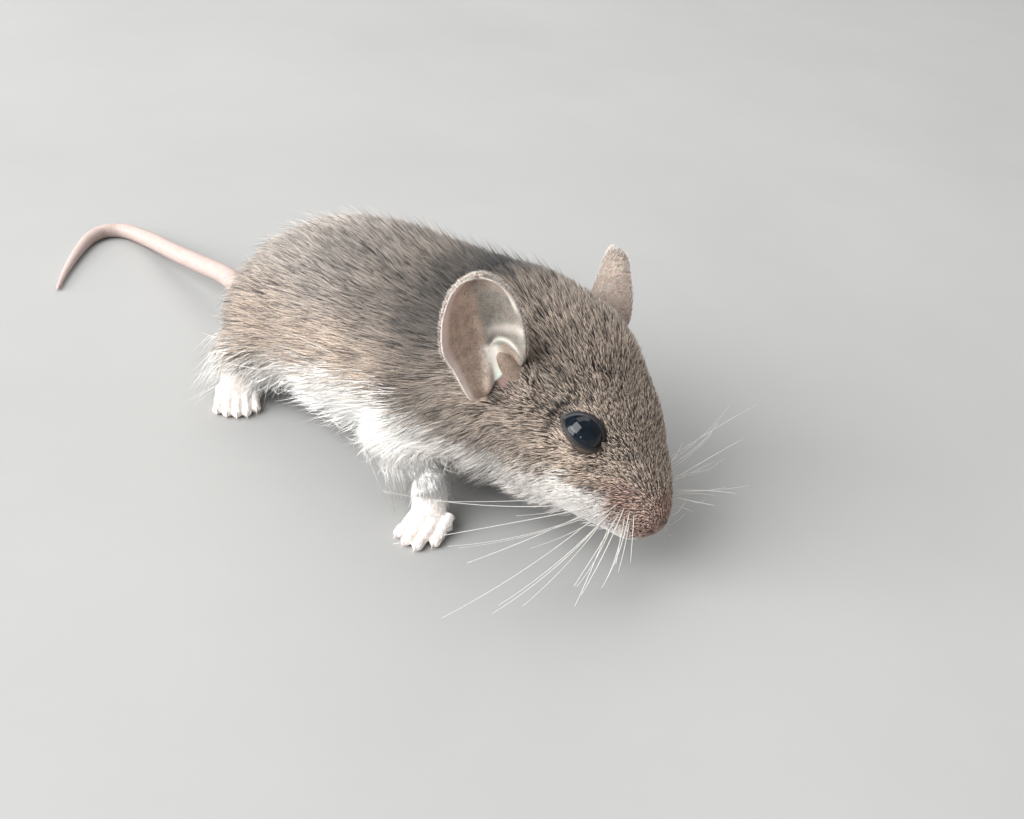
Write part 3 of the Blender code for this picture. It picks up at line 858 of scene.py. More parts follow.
@dataclass(frozen=True)
class FurFinish:
    """Agouti hair: dark root, brown shaft and buff tip, or all white."""

    name: str = "agouti_hair"
    root: tuple = srgb(46, 40, 37)
    shaft: tuple = srgb(102, 88, 78)
    band: tuple = srgb(192, 171, 152)
    tip: tuple = srgb(238, 219, 200)
    dark: tuple = srgb(66, 57, 52)
    white_root: tuple = srgb(250, 248, 245)
    white_tip: tuple = srgb(254, 252, 249)
    dark_share: float = 0.34
    blush: tuple = srgb(236, 216, 220)

    def make(self) -> Material:
        """Build the material."""
        n = Nodes(self.name)
        along, strand, tone = n.value("along"), n.value("strand"), n.value("tone")
        buff = n.ramp(along, [(0.0, self.root), (0.3, self.shaft), (0.72, self.band),
                              (1.0, self.tip)])
        dark = n.ramp(along, [(0.0, self.root), (0.6, self.dark), (1.0, self.shaft)])
        chosen = n.maths("LESS_THAN", strand, self.dark_share)
        brown = n.blend(buff, dark, chosen)
        # the brown is scaled by a stored lightness: random unevenness with painted shade and
        # painted light
        grey = n.add("ShaderNodeCombineColor")
        for socket in grey.inputs[:3]:
            n.link(tone, socket)
        brown = n.blend(brown, grey.outputs["Color"], 1.0, "MULTIPLY")
        plain = n.add("ShaderNodeRGBToBW")
        n.link(brown, plain.inputs["Color"])
        hue = n.value("hue")
        brown = n.blend(brown, plain.outputs["Val"], n.grade(hue, 0.0, 1.0, 0.0, 0.55))
        rosy = n.blend(brown, self.blush, 1.0, "MULTIPLY")
        brown = n.blend(brown, rosy, n.grade(hue, 0.0, -1.0))
        white = n.ramp(along, [(0.0, self.white_root), (0.5, self.white_tip),
                               (1.0, self.white_tip)])
        colour = n.blend(brown, white, n.value("white"))
        rough = n.grade(strand, 0.0, 1.0, 0.55, 0.75)
        return n.finish(colour, rough, Specular_IOR_Level=0.35, Sheen_Weight=0.15,
                        Sheen_Roughness=0.4)


@dataclass(frozen=True)
class HideFinish:
    """Skin under and between the hairs, bare and rosy on the nose, dark on the lids, and with
    painted shade in the pressed nostrils, lip line and cleft.
    """

    name: str = "hide"
    brown: tuple = srgb(92, 79, 70)
    white: tuple = srgb(251, 248, 244)
    rosy: tuple = srgb(182, 148, 142)
    flush: tuple = srgb(166, 128, 120)
    pigment_and_shade: tuple = srgb(44, 43, 46)

    def make(self) -> Material:
        """Build the material."""
        n = Nodes(self.name)
        grain = n.noise(9.0)
        patches = n.noise(1.3)
        ground = n.blend(self.brown, self.white, n.value("white"))
        rosy = n.blend(self.rosy, self.flush, n.grade(patches, 0.35, 0.65))
        ground = n.blend(ground, rosy, n.value("bare"))
        # dark pigment on the lids, and painted shade in the pressed nostrils, lip line and cleft
        ground = n.blend(ground, self.pigment_and_shade, n.value("pigment_and_shade"))
        colour = n.shade(ground, grain, (0.25, 0.75), srgb(196, 196, 196))
        n.bump(grain, 0.03)
        rough = n.grade(grain, 0.2, 0.8, 0.62, 0.42)
        return n.finish(colour, rough, Specular_IOR_Level=0.4)


@dataclass(frozen=True)
class BareFinish:
    """Thin pale skin of feet and tail, creased across."""

    name: str
    pale: tuple
    rosy: tuple
    crease: float = 5.0
    depth: float = 0.03

    def make(self) -> Material:
        """Build the material."""
        n = Nodes(self.name)
        grain = n.noise(self.crease, 5.0, 0.65)
        patches = n.noise(0.8, 3.0)
        colour = n.blend(self.pale, self.rosy, n.grade(patches, 0.4, 0.7, 0.0, 0.35))
        # rosier along the fold mark: creases, the sole, the tail's grooves, and painted shade
        # between the digits
        colour = n.blend(colour, self.rosy, n.value("fold"))
        colour = n.shade(colour, grain, (0.3, 0.7), srgb(226, 220, 218))
        n.bump(grain, self.depth)
        rough = n.grade(grain, 0.2, 0.8, 0.62, 0.4)
        return n.finish(colour, rough, Specular_IOR_Level=0.4, Subsurface_Weight=0.12,
                        Subsurface_Scale=0.4 * MM)


@dataclass(frozen=True)
class EarFinish:
    """Ear skin: dark and hairy behind, thin and pale in front, with fine veins, and painted
    light on its lit patches and rim.
    """

    name: str = "ear_skin"
    pigment_and_shade: tuple = srgb(198, 174, 158)
    pale: tuple = srgb(152, 146, 138)
    painted_light: tuple = srgb(250, 243, 233)
    rosy: tuple = srgb(190, 152, 140)
    vein: tuple = srgb(160, 140, 130)
    mottle: tuple = srgb(188, 185, 181)

    def make(self) -> Material:
        """Build the material."""
        n = Nodes(self.name)
        grain, cloud = n.noise(6.0), n.noise(1.1, 3.0)
        veins = n.add("ShaderNodeTexVoronoi", feature="DISTANCE_TO_EDGE")
        veins.inputs["Scale"].default_value = 0.75 / MM
        n.link(n.add("ShaderNodeTexCoord").outputs["Object"], veins.inputs["Vector"])
        thread = n.grade(veins.outputs["Distance"], 0.0, 0.05, 0.22, 0.0)
        pale = n.blend(self.pale, self.vein, thread)
        ground = n.blend(pale, self.pigment_and_shade, n.value("pigment_and_shade"))
        ground = n.blend(ground, self.rosy, n.value("rosy"))
        ground = n.shade(ground, n.blend(grain, cloud, 0.45), (0.35, 0.65), self.mottle)
        # painted light: near-white patches where light falls on the ear
        colour = n.blend(ground, self.painted_light, n.value("painted_light"))
        n.bump(grain, 0.025)
        rough = n.grade(grain, 0.2, 0.8, 0.68, 0.5)
        return n.finish(colour, rough, Specular_IOR_Level=0.3, Subsurface_Weight=0.35,
                        Subsurface_Scale=0.6 * MM)


@dataclass(frozen=True)
class GlossFinish:
    """Wet black of the eyes, with a painted bluish sheen in soft patches."""

    name: str = "eye_gloss"
    deep: tuple = (0.002, 0.0035, 0.006, 1.0)
    clear: tuple = (0.006, 0.011, 0.019, 1.0)

    def make(self) -> Material:
        """Build the material."""
        n = Nodes(self.name)
        depth = n.noise(0.9, 3.0)
        # painted sheen: soft patches of the black turn a little bluish
        colour = n.ramp(depth, [(0.35, self.deep), (0.75, self.clear)])
        rough = n.grade(n.noise(12.0), 0.3, 0.7, 0.02, 0.05)
        return n.finish(colour, rough, Specular_IOR_Level=0.32)


@dataclass(frozen=True)
class HornFinish:
    """Smooth pale horn of claws and whiskers."""

    name: str
    root: tuple
    tip: tuple
    roughness: tuple = (0.3, 0.45)

    def make(self) -> Material:
        """Build the material."""
        n = Nodes(self.name)
        grain = n.noise(4.0, 3.0)
        colour = n.ramp(n.value("along"), [(0.0, self.root), (1.0, self.tip)])
        colour = n.shade(colour, grain, (0.2, 0.8), srgb(225, 222, 218))
        rough = n.grade(grain, 0.2, 0.8, *self.roughness)
        return n.finish(colour, rough, Specular_IOR_Level=0.5)


@dataclass(frozen=True)
class FloorFinish:
    """Pale matt ground."""

    name: str = "pale_ground"
    colour: tuple = srgb(164, 163, 161)
    worn: tuple = srgb(159, 158, 156)

    def make(self) -> Material:
        """Build the material."""
        n = Nodes(self.name)
        cloud = n.noise(0.02, 4.0)
        colour = n.blend(self.colour, self.worn, n.grade(cloud, 0.3, 0.7))
        rough = n.grade(cloud, 0.3, 0.7, 0.85, 0.95)
        return n.finish(colour, rough, Specular_IOR_Level=0.2)


# ---- placing pieces ----

def settle(thing: Thing, slot: Slot, materials: list) -> Thing:
    """Scale a piece to metres, dress it and fix it to the body.

    Args:
        thing: A piece in millimetres.
        slot: Not used.
        materials: Its materials, in the order of its faces' numbers.

    Returns:
        The same piece.
    """
    points = read_points(thing.data) * MM
    write_points(thing.data, points)
    if not thing.data.materials:
        for material in materials:
            thing.data.materials.append(material)
    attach(thing, "root")
    LOG.info("%s: %d corners, %d triangles", thing.name, len(thing.data.vertices),
             len(thing.data.loops) - 2 * len(thing.data.polygons))
    return thing


# ---- the skin ----

@dataclass(frozen=True)
class Stroke:
    """A soft line on the skin of the face."""

    depth: float         # to which it is pressed in, below zero where it is raised
    width: float
    places: tuple        # back, outward and up from the nose tip


NOSTRIL = Stroke(0.30, 0.17, ((-0.1, 0.62, -0.15), (0.35, 1.02, 0.02)))
NOSTRIL_SLIT = Stroke(0.14, 0.13, ((0.35, 1.02, 0.02), (0.9, 1.25, 0.32)))
LIP = Stroke(0.26, 0.2, ((0.55, 0.1, -1.75), (1.5, 1.1, -2.1), (3.0, 2.1, -2.25),
                         (4.6, 2.9, -2.0)))
WHISKER_PAD = Stroke(-0.26, 1.2, ((2.2, 1.9, -0.7), (3.6, 2.7, -0.5)))
NOSE_WING = Stroke(-0.10, 0.4, ((0.35, 0.62, 0.45), (0.0, 0.4, 0.2)))
CLEFT = Stroke(0.20, 0.13, ((-0.3, 0.0, 0.1), (-0.2, 0.0, -0.6), (0.3, 0.0, -1.5)))


@dataclass
class Hide:
    """The one skin over trunk, head and legs, sunk under the coat and then sculpted."""

    pose: Pose
    pelt: Pelt
    nodes: tuple = ("head", "muzzle", "jaw", "neck", "chest", "loin", "rump", "thigh_left",
                    "thigh_right", "foreleg_left", "foreleg_right")
    swell: float = 0.24           # closes the thin cuts between the parts
    voxel: float = 0.40
    eye_radius: float = 2.1
    eye_filling: float = 1.95
    face_reach: float = 14.0
    lid_reach: float = 0.6
    lid_clear: float = 0.05       # between the eyeball and the lids
    lid_roll: float = 0.10        # height of the lids' rounded edges
    lid_tuck: float = 0.35        # how deep the skin goes behind the lids' edges
    lid_rest: float = 0.10        # least distance from the eyeball after evening out
    lid_passes: int = 70
    nose_reach: float = 3.0
    muzzle_fill: float = 0.42      # what smoothing would take off the muzzle's end
    pad_gap: Array = None          # distance from the nose's naked pad

    def melt(self) -> Thing:
        """Join the frame's flesh and plugs for the eyes.

        Returns:
            One closed hull at the tips of the coat.
        """
        pieces = []
        for name in self.nodes:
            twin = link_new("part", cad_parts[name].data.copy())
            twin.data.materials.clear()
            write_points(twin.data, read_points(twin.data) / MM)
            pieces.append(twin)
        for eye in self.pose.eyes.values():
            pieces.append(new_object("socket", *ball(eye, np.full(3, self.eye_filling - 0.2))))
        whole = join_meshes("hull", pieces)
        work = bmesh.new()
        work.from_mesh(whole.data)
        bmesh.ops.remove_doubles(work, verts=work.verts, dist=0.001)
        work.to_mesh(whole.data)
        work.free()
        push = whole.modifiers.new("swell", "DISPLACE")
        push.strength = self.swell
        push.mid_level = 0.0
        return remesh(whole, self.voxel, 7)

    def sink(self, hull: Thing) -> Thing:
        """Move the hull inwards by the coat's depth."""
        points, normals = read_points(hull.data), read_points(hull.data, "normal")
        at = self.pelt.read(points)
        depth = self.pelt.depth(at) + self.swell - self.muzzle_fill * smooth(5.5, 1.0, at.back)
        for _ in range(4):
            points = points - normals * depth[:, None] / 4.0
            write_points(hull.data, points)
            normals = read_points(hull.data, "normal")
        return remesh(hull, self.voxel, 4)

    def refine(self, hide: Thing) -> None:
        """Give the skin of the face, and then of the eyes and nose, a finer mesh."""
        work = bmesh.new()
        work.from_mesh(hide.data)
        for step in range(2):
            points = np.array([vertex.co for vertex in work.verts])
            at = self.pelt.read(points)
            if step == 0:
                near = (at.back < self.face_reach) & (at.on_head > 0.9)
            else:
                near = (at.lid_gap < self.lid_reach) | (at.back < self.nose_reach)
            chosen = [edge for edge in work.edges
                      if near[edge.verts[0].index] and near[edge.verts[1].index]]
            bmesh.ops.subdivide_edges(work, edges=chosen, cuts=1, use_grid_fill=True,
                                      smooth=0.0)
            work.verts.index_update()
        bmesh.ops.triangulate(work, faces=[face for face in work.faces
                                           if len(face.verts) > 4])
        work.to_mesh(hide.data)
        work.free()

    def lids(self, points: Array, side: Side) -> tuple:
        """Wrap the lids round an eyeball.

        Args:
            points: The skin's corners.
            side: Which eye.

        Returns:
            The moved corners, how much each belongs to the dark lid, and how far each
            may be evened out.
        """
        away = points - self.pose.eyes[side]
        radius = np.linalg.norm(away, axis=1)
        gap, height, facing = self.pose.lid_gap(points, side)
        rim = self.eye_radius + self.lid_clear + self.lid_roll * hump(gap, 0.075, 0.06)
        lid = mix(self.eye_radius - self.lid_tuck, rim, smooth(-0.06, 0.015, gap))
        settled = mix(lid, np.maximum(radius, self.eye_radius + 0.08), smooth(0.13, 0.5, gap))
        settled = settled - 0.05 * hump(gap, 0.24, 0.05) * smooth(-0.2, 0.2, height)
        near = smooth(3.6, 2.4, radius) * smooth(-0.55, -0.05, facing)
        free = smooth(0.17, 0.34, gap) * smooth(5.0, 3.6, radius) * smooth(-0.95, -0.6, facing)
        radius = mix(radius, settled, near)
        wide = np.where(height > 0, 0.29, 0.24)
        pigment_and_shade = near * smooth(0.0, -0.12, gap - wide)
        return self.pose.eyes[side] + unit(away) * radius[:, None], pigment_and_shade, free

    def sculpt(self, hide: Thing) -> None:
        """Press in nostrils, cleft and mouth, form the lids and store the colours, with painted
        shade where the skin is pressed in.
        """
        points, normals = read_points(hide.data), read_points(hide.data, "normal")
        at = self.pelt.read(points)
        tree = BVHTree.FromPolygons(points.tolist(), read_triangles(hide.data).tolist())

        def on_skin(places: tuple, way: float = 1.0) -> list:
            """The spots of the skin nearest to places of the head."""
            return [np.array(tree.find_nearest(
                self.pose.head_spot(back, out * way, above).tolist())[0])
                for back, out, above in places]

        drawn = [(stroke, side.value) for side in Side
                 for stroke in (NOSTRIL, NOSTRIL_SLIT, LIP, WHISKER_PAD, NOSE_WING)]
        pressed, raised = np.zeros(len(points)), np.zeros(len(points))
        for stroke, way in drawn + [(CLEFT, 1.0)]:
            line = on_skin(stroke.places, way)
            relief = stroke.depth * hump(distance_to_path(points, line), 0.0, stroke.width)
            pressed += np.maximum(relief, 0.0)
            raised += np.maximum(-relief, 0.0)
        pad = on_skin(((-0.3, 0.0, -0.1), (0.1, 0.5, 0.0), (0.1, -0.5, 0.0), (0.0, 0.0, -0.6)))
        self.pad_gap = np.min([np.linalg.norm(points - spot, axis=1) for spot in pad], axis=0)
        raised += 0.06 * smooth(0.75, 0.55, self.pad_gap)
        points = points - normals * (pressed - raised)[:, None]
        # painted shade: the pressed nostrils, slits, lip line and cleft are darkened
        pigment_and_shade = np.clip(pressed * 2.2, 0, 0.85)
        for side in Side:
            points, lid, free = self.lids(points, side)
            points = relax(hide.data, points, free, self.lid_passes)
            away = points - self.pose.eyes[side]
            radius = np.maximum(np.linalg.norm(away, axis=1), 0.01)
            push = np.where(free > 0, np.maximum(self.eye_radius + self.lid_rest - radius,
                                                 0.0), 0.0)
            points = points + away * (push / radius)[:, None]
            pigment_and_shade = np.maximum(pigment_and_shade, lid)
        write_points(hide.data, points)
        at = self.pelt.read(points)
        mark(hide.data, "white", self.pelt.whiteness(at))
        mark(hide.data, "bare", np.maximum(self.pelt.bareness(at),
                                           smooth(0.85, 0.6, self.pad_gap)))
        mark(hide.data, "pigment_and_shade", pigment_and_shade)

    def build(self) -> Thing:
        """Make the skin of trunk, head and legs, in millimetres."""
        hide = self.sink(self.melt())
        self.refine(hide)
        self.sculpt(hide)
        hide.data.shade_smooth()
        return hide


@dataclass
class Feet:
    """Palms, digits and pads of the four feet, and their claws."""

    pose: Pose
    digit: float = 0.56            # half thickness of a plain digit
    palm_wide: tuple = (0.29, 0.32, 0.39, 0.43)    # half sizes from above the joint down to
    palm_high: tuple = (0.30, 0.30, 0.28, 0.24)    # the pads, against the foot's width
    joints: tuple = ((0.40, 1.9), (0.66, 1.2), (0.88, 0.92))  # along a digit, and heights
    folds: tuple = (0.36, 0.45, 0.62, 0.70, 0.86)  # creases, as shares along a digit
    claw: float = 0.13
    claw_length: float = 0.75
    voxel: float = 0.115

    def digit_paths(self, foot: Foot) -> list:
        """Find the middle lines of the digits.

        Args:
            foot: Which foot.

        Returns:
            The root, knuckle, middle, end and heading of each digit.
        """
        limb = foot.limb
        pads, tip = self.pose.spot(*foot.pads), self.pose.spot(*foot.tip)
        flat = tip - pads
        flat[2] = 0.0
        reach = float(np.linalg.norm(flat))
        flat = flat / reach
        side = np.cross(UP, flat)
        paths = []
        for i in range(limb.digits):
            across = i / (limb.digits - 1) - 0.5
            ahead = (flat * math.cos(limb.spread * across)
                     + side * math.sin(limb.spread * across))
            length = reach * (1.0 - 0.9 * across * across)
            length *= limb.outer if across * -foot.side.value > 0.49 else 1.0
            root = pads + side * across * limb.width * 0.78
            root = root - ahead * limb.behind
            root[2] = pads[2] * limb.root_height
            places = [root]
            for share, height in self.joints:
                place = root + ahead * (length + limb.longer) * share
                place[2] = self.digit * height
                places.append(place)
            paths.append((*places, ahead))
        return paths

    def melt(self, foot: Foot) -> Thing:
        """Melt the palm's tube and the digits' tubes and balls into one foot."""
        limb = foot.limb
        joint, pads = self.pose.spot(*foot.joint), self.pose.spot(*foot.pads)
        back = joint + (joint - pads) * 0.15
        heel = pads + (joint - pads) * limb.heel
        palm = curve_through([back, joint, (joint + heel) / 2, heel], 5)
        wide, high = (curve_through(np.array(sizes)[:, None] * limb.width, 5)[:, 0]
                      for sizes in (self.palm_wide, self.palm_high))
        shapes = [tube(palm, wide, high, UP, 24)]
        r = self.digit * limb.thickness
        for root, knuckle, middle, end, ahead in self.digit_paths(foot):
            path = curve_through([root, knuckle, middle, end], 6)
            thick = curve_through(np.array([[1.05], [1.0], [0.92], [0.92]]) * r, 6)[:, 0]
            shapes.append(tube(path, thick, thick, UP, 14))
            shapes.append(ball(end + ahead * 0.14 - UP * 0.04, (r * 0.94, r * 0.94, r * 0.88)))
            shapes.append(ball(root + ahead * 0.5 - UP * (root[2] - r), (r * 1.1,) * 3))
        parts = [new_object("shape", *shape) for shape in shapes]
        return remesh(join_meshes(foot.name, parts), self.voxel, limb.softening)

    def build_foot(self, foot: Foot) -> Thing:
        """Make one foot, creased across its digits and flat underneath.

        Args:
            foot: Which foot.

        Returns:
            The foot, marked with its folds.
        """
        piece = self.melt(foot)
        points, normals = read_points(piece.data), read_points(piece.data, "normal")
        fold, beside = np.zeros(len(points)), np.zeros(len(points))
        paths = self.digit_paths(foot)
        for root, _, _, end, ahead in paths:
            along = (points - root) @ ahead
            aside = np.linalg.norm((points - root - along[:, None] * ahead)[:, :2], axis=1)
            length = (end - root) @ ahead
            for share in self.folds:
                fold += hump(along, length * share, 0.06) * smooth(0.9, 0.6, aside)
        fold = np.clip(fold, 0, 1)
        # painted shade: the gaps between neighbouring digits get the rosier colour
        for first, second in zip(paths[:-1], paths[1:]):
            seam = [(first[k] + second[k]) / 2 for k in range(4)]
            beside = np.maximum(beside, hump(distance_to_path(points, seam), 0.0, 0.30))
        points = points - normals * (0.02 * fold)[:, None]
        points[:, 2] = np.maximum(points[:, 2], 0.0)
        write_points(piece.data, points)
        # the fold mark is rosier: a little in the creases, strongly in the painted shade between
        # the digits, and low on the sole
        sole = smooth(0.35, 0.1, points[:, 2])
        mark(piece.data, "fold", np.clip(0.12 * fold + 0.5 * beside + 0.5 * sole, 0, 1))
        return piece

    def build_claws(self, foot: Foot) -> Thing:
        """Make the curved claws of one foot as one piece."""
        steps = np.linspace(0, 1, 7)
        size = self.claw * (1.0 - steps) ** 0.7 + 0.015
        tubes = []
        for _, _, _, end, ahead in self.digit_paths(foot):
            start = end + ahead * (self.digit * 0.72) + UP * (self.digit * 0.42)
            path = (start + np.outer(steps, ahead) * self.claw_length * 0.78
                    + np.outer(steps ** 2.0, [0, 0, -1.0]) * self.digit * 0.95)
            path[:, 2] = np.maximum(path[:, 2], self.claw * 0.5)
            tubes.append((*tube(path, size * 0.8, size, UP, 10), steps))
        return join_tubes(f"claws_{foot.name}", tubes)


@dataclass
class Ears:
    """The two cupped ears, with rolled rims, a dark lobe and a flap over the opening."""

    pose: Pose
    lengths: dict = field(default_factory=lambda: {Side.RIGHT: 11.3, Side.LEFT: 11.0})
    lean_out: dict = field(default_factory=lambda: {Side.RIGHT: 3.1, Side.LEFT: 1.3})
    roots: dict = field(default_factory=lambda: {Side.RIGHT: (18.75, 9.0, 2.85),
                                                 Side.LEFT: (18.3, 8.7, 3.2)})
    lean_back: float = 4.8
    half_width: float = 3.75
    thickness: float = 0.30
    rim_bulge: float = 0.1
    scoop: float = 4.2
    root_angle: float = -64.0
    rows: int = 76
    columns: int = 60

    def axes(self, side: Side) -> tuple:
        """Find how an ear stands.

        Args:
            side: Which ear.

        Returns:
            Its root, and the directions up it, out of its opening and to its front edge.
        """
        pose = self.pose
        back, aside, above = self.roots[side]
        root = pose.head_spot(back, side.value * aside, above)
        axis = unit(pose.left * side.value * self.lean_out[side]
                    - pose.forward * self.lean_back + pose.up * 9.2)
        facing = pose.forward * 0.70 + pose.left * side.value * 0.71
        facing = unit(facing - axis * (facing @ axis))
        front = unit(np.cross(axis, facing))
        return root, axis, facing, front * math.copysign(1.0, front @ pose.forward)

    @staticmethod
    def fold_line(rise: Array) -> Array:
        """How far forward the soft ridge between the ear's two halves runs."""
        return np.interp(rise, [0.0, 2.5, 4.0, 5.0, 7.0, 10.0, 12.0],
                         [0.45, 0.22, 0.0, 0.02, -0.35, -0.5, -0.4])

    def square(self, side: Side, places: Array) -> Array:
        """Directions square to the ear's sheet, on the side of its opening."""
        normal = unit(np.cross(np.gradient(places, axis=0), np.gradient(places, axis=1)))
        return normal * np.sign((normal * self.axes(side)[2]).sum(axis=2).mean())

    def sheet(self, side: Side) -> tuple:
        """The ear's middle surface.

        Args:
            side: Which ear.

        Returns:
            Places (rows, columns, 3), the share up the ear, the share across it, and the
            distances forward and up from its root.
        """
        root, axis, facing, front = self.axes(side)
        length = self.lengths[side]
        share = np.linspace(0, 1, self.rows + 1)
        lift = np.radians(self.root_angle + (88.0 - self.root_angle) * share)
        rise = (length * 0.5 * (1.0 + np.sin(lift)))[:, None]
        broad = np.where(lift > 0, 0.84 if side is Side.RIGHT else 0.66, 1.0)
        half = (self.half_width * np.maximum(np.cos(lift), 0.02) ** broad)[:, None]
        up = rise / length
        s = np.sin(0.5 * math.pi * np.linspace(-1, 1, self.columns + 1))[None, :]
        cup = self.scoop * (1.0 - 0.75 * up) * (s * s - 0.45) * half / self.half_width
        low, front_half = smooth(0.45, 0.15, up), smooth(-0.1, 0.7, s)
        cup = cup * (1.0 - 0.65 * low * front_half) * (1.0 - 0.45 * low)
        ahead = half * s - 0.3 * up + 0.5 * smooth(0.45, 0.12, up) * smooth(0.1, -0.8, s)
        rise = rise - 1.3 * smooth(0.28, 0.04, up) * smooth(0.6, -0.3, s)
        ridge = self.fold_line(rise)
        cup = cup + 0.38 * hump(ahead, ridge, 0.55) * smooth(0.75, 0.35, up)
        cup = cup + 0.85 * smooth(ridge + 0.25, ridge - 0.45, ahead) * smooth(0.32, 0.10, up)
        cup = cup - 0.25 * hump(ahead, ridge + 1.5, 0.9) * smooth(0.42, 0.20, up)
        cup = cup + 0.20 * smooth(0.80, 1.0, np.abs(s)) * smooth(0.1, 0.4, up)
        cup = cup - 1.1 * smooth(0.10, 0.0, up)
        ahead = ahead - 0.25 * smooth(0.75, 1.0, s) * smooth(0.2, 0.5, up)
        places = (root + axis * rise[:, :, None] + front * ahead[:, :, None]
                  + facing * cup[:, :, None])
        wobble = ripple(places.reshape(-1, 3), 3.0, 41).reshape(cup.shape)
        places = places + facing * (0.08 * wobble * smooth(0.15, 0.5, up))[:, :, None]
        return (places, *np.broadcast_arrays(up, s, ahead, rise))

    def rim(self, places: Array, normal: Array, ring: Array) -> Array:
        """Round off the sheet's edge.

        Args:
            places: The sheet's places.
            normal: The directions square to it.
            ring: The numbers of the corners round its edge.

        Returns:
            The rim's points, one beside each corner of the edge.
        """
        edge = places.reshape(-1, 3)[ring]
        outwards = np.cross(unit(edge - np.roll(edge, 1, axis=0)),
                            normal.reshape(-1, 3)[ring])
        centre = places.reshape(-1, 3).mean(axis=0)
        outwards = outwards * np.sign((outwards * (edge - centre)).sum(axis=1))[:, None]
        return edge + outwards * self.rim_bulge

    def build(self, side: Side) -> list:
        """Make one ear.

        Args:
            side: Which ear.

        Returns:
            A thin closed shell with a rounded rim, and the flap before its opening.
        """
        sheet = self.sheet(side)
        places, up, s, _, _ = sheet
        normal = self.square(side, places)
        thin = np.maximum(np.abs(s) ** 6, smooth(0.90, 1.0, up))
        half = 0.5 * self.thickness * (1.0 - 0.35 * thin) * (1.30 - 0.40 * up)
        inner, outer = places + normal * half[:, :, None], places - normal * half[:, :, None]
        grid = np.arange(up.size).reshape(up.shape)
        ring = np.concatenate([grid[0, :-1], grid[:-1, -1], grid[-1, :0:-1], grid[:0:-1, 0]])
        edge = 2 * grid.size + np.arange(len(ring))
        front = np.stack([grid[:-1, :-1], grid[:-1, 1:], grid[1:, 1:], grid[1:, :-1]],
                         axis=2).reshape(-1, 4)
        after, edge_after = np.roll(ring, -1), np.roll(edge, -1)
        rim = np.vstack([np.stack([ring, edge, edge_after, after], axis=1),
                         np.stack([edge, grid.size + ring, grid.size + after, edge_after],
                                  axis=1)])
        points = np.vstack([inner.reshape(-1, 3), outer.reshape(-1, 3),
                            self.rim(places, normal, ring)])
        ear = new_object(f"ear_{side.word}_shell", points,
                         [front, grid.size + front[:, ::-1], rim])
        work = bmesh.new()
        work.from_mesh(ear.data)
        bmesh.ops.recalc_face_normals(work, faces=work.faces)
        work.to_mesh(ear.data)
        work.free()
        self.paint(ear, sheet, len(ring))
        return [ear, self.flap(side)]

    def flap(self, side: Side) -> Thing:
        """Make the small fleshy flap in front of an ear's opening."""
        root, axis, facing, front = self.axes(side)
        steep = unit(axis - front * 0.60 + facing * 0.05)
        across = unit(front - steep * (front @ steep))
        middle = root + front * 2.85 + axis * 0.85 + facing * 0.25
        shape = ball(middle, (1.0, 3.5, 0.62),
                     np.stack([across, steep, np.cross(across, steep)]), 28, 36)
        thing = new_object(f"flap_{side.word}", *shape)
        high = (shape[0] - root) @ axis
        mark(thing.data, "pigment_and_shade", 0.95 * smooth(-1.0, 2.0, high))
        mark(thing.data, "rosy", 0.5 * smooth(1.0, -1.0, high))
        return thing

    def paint(self, ear: Thing, sheet: tuple, rim_size: int) -> None:
        """Store how dark, rosy or near-white each corner of an ear is; the near-white is painted
        light.

        Args:
            ear: The shell.
            sheet: The ear's middle surface, as `sheet` gives it.
            rim_size: How many corners the rim has.
        """
        _, up, s, ahead, rise = sheet
        ridge = self.fold_line(rise)
        soft = np.interp(rise, [0, 4, 6, 10], [0.15, 0.25, 0.6, 1.1])
        edge = np.maximum(np.abs(s), smooth(0.90, 0.985, up))
        band = smooth(ridge + soft * 0.5, ridge - soft, ahead)
        band = np.maximum(band, 0.5 * smooth(0.80, 0.94, up))
        arch = 4.5 - 0.45 * (ahead - 1.7) ** 2
        front = smooth(ridge, ridge + 0.3, ahead)
        canal = smooth(arch - 0.1, arch - 0.5, rise) * front
        inside = np.maximum(band, 0.75 * canal * smooth(1.1, 1.5, ahead))
        inside = inside * (1.0 - 0.8 * smooth(0.86, 0.97, edge))
        middle = np.interp(rise, [0.3, 2.0, 4.0], [1.25, 0.85, 0.35])
        # painted light: a sunlit oval patch in the hollow
        sunlit_leaf = hump(ahead, middle + 0.15, 0.8) * smooth(-0.6, 0.2, rise)
        sunlit_leaf = sunlit_leaf * smooth(4.3, 3.7, rise)
        inside = inside * (1.0 - sunlit_leaf)
        # painted highlight: a lit line along the fold above the flap, and a fainter one across
        # the front
        painted_highlight = hump(rise, arch + 0.22, 0.22) * front
        painted_highlight = 0.8 * painted_highlight * smooth(3.4, 2.4, ahead)
        painted_highlight = np.maximum(painted_highlight, 0.35 * hump(rise, 5.4 + 0.33 * ahead, 0.5) * front)
        # painted light also along the rear rim
        painted_light = np.maximum(np.maximum(sunlit_leaf, painted_highlight), 0.56 * smooth(0.80, 0.95, edge)
                           * smooth(0.6, -0.2, s * smooth(0.8, 0.6, up)))
        rosy = 0.5 * canal * smooth(2.4, 0.4, rise) * (1.0 - sunlit_leaf)
        for name, front_side, behind, rim in (("pigment_and_shade", inside, np.full_like(s, 0.40), 0.2),
                                              ("rosy", rosy, 0.15 * (1.0 - up), 0.0),
                                              ("painted_light", painted_light, np.zeros_like(s), 0.35)):
            mark(ear.data, name, np.concatenate([front_side.ravel(), behind.ravel(),
                                                 np.full(rim_size, rim)]))


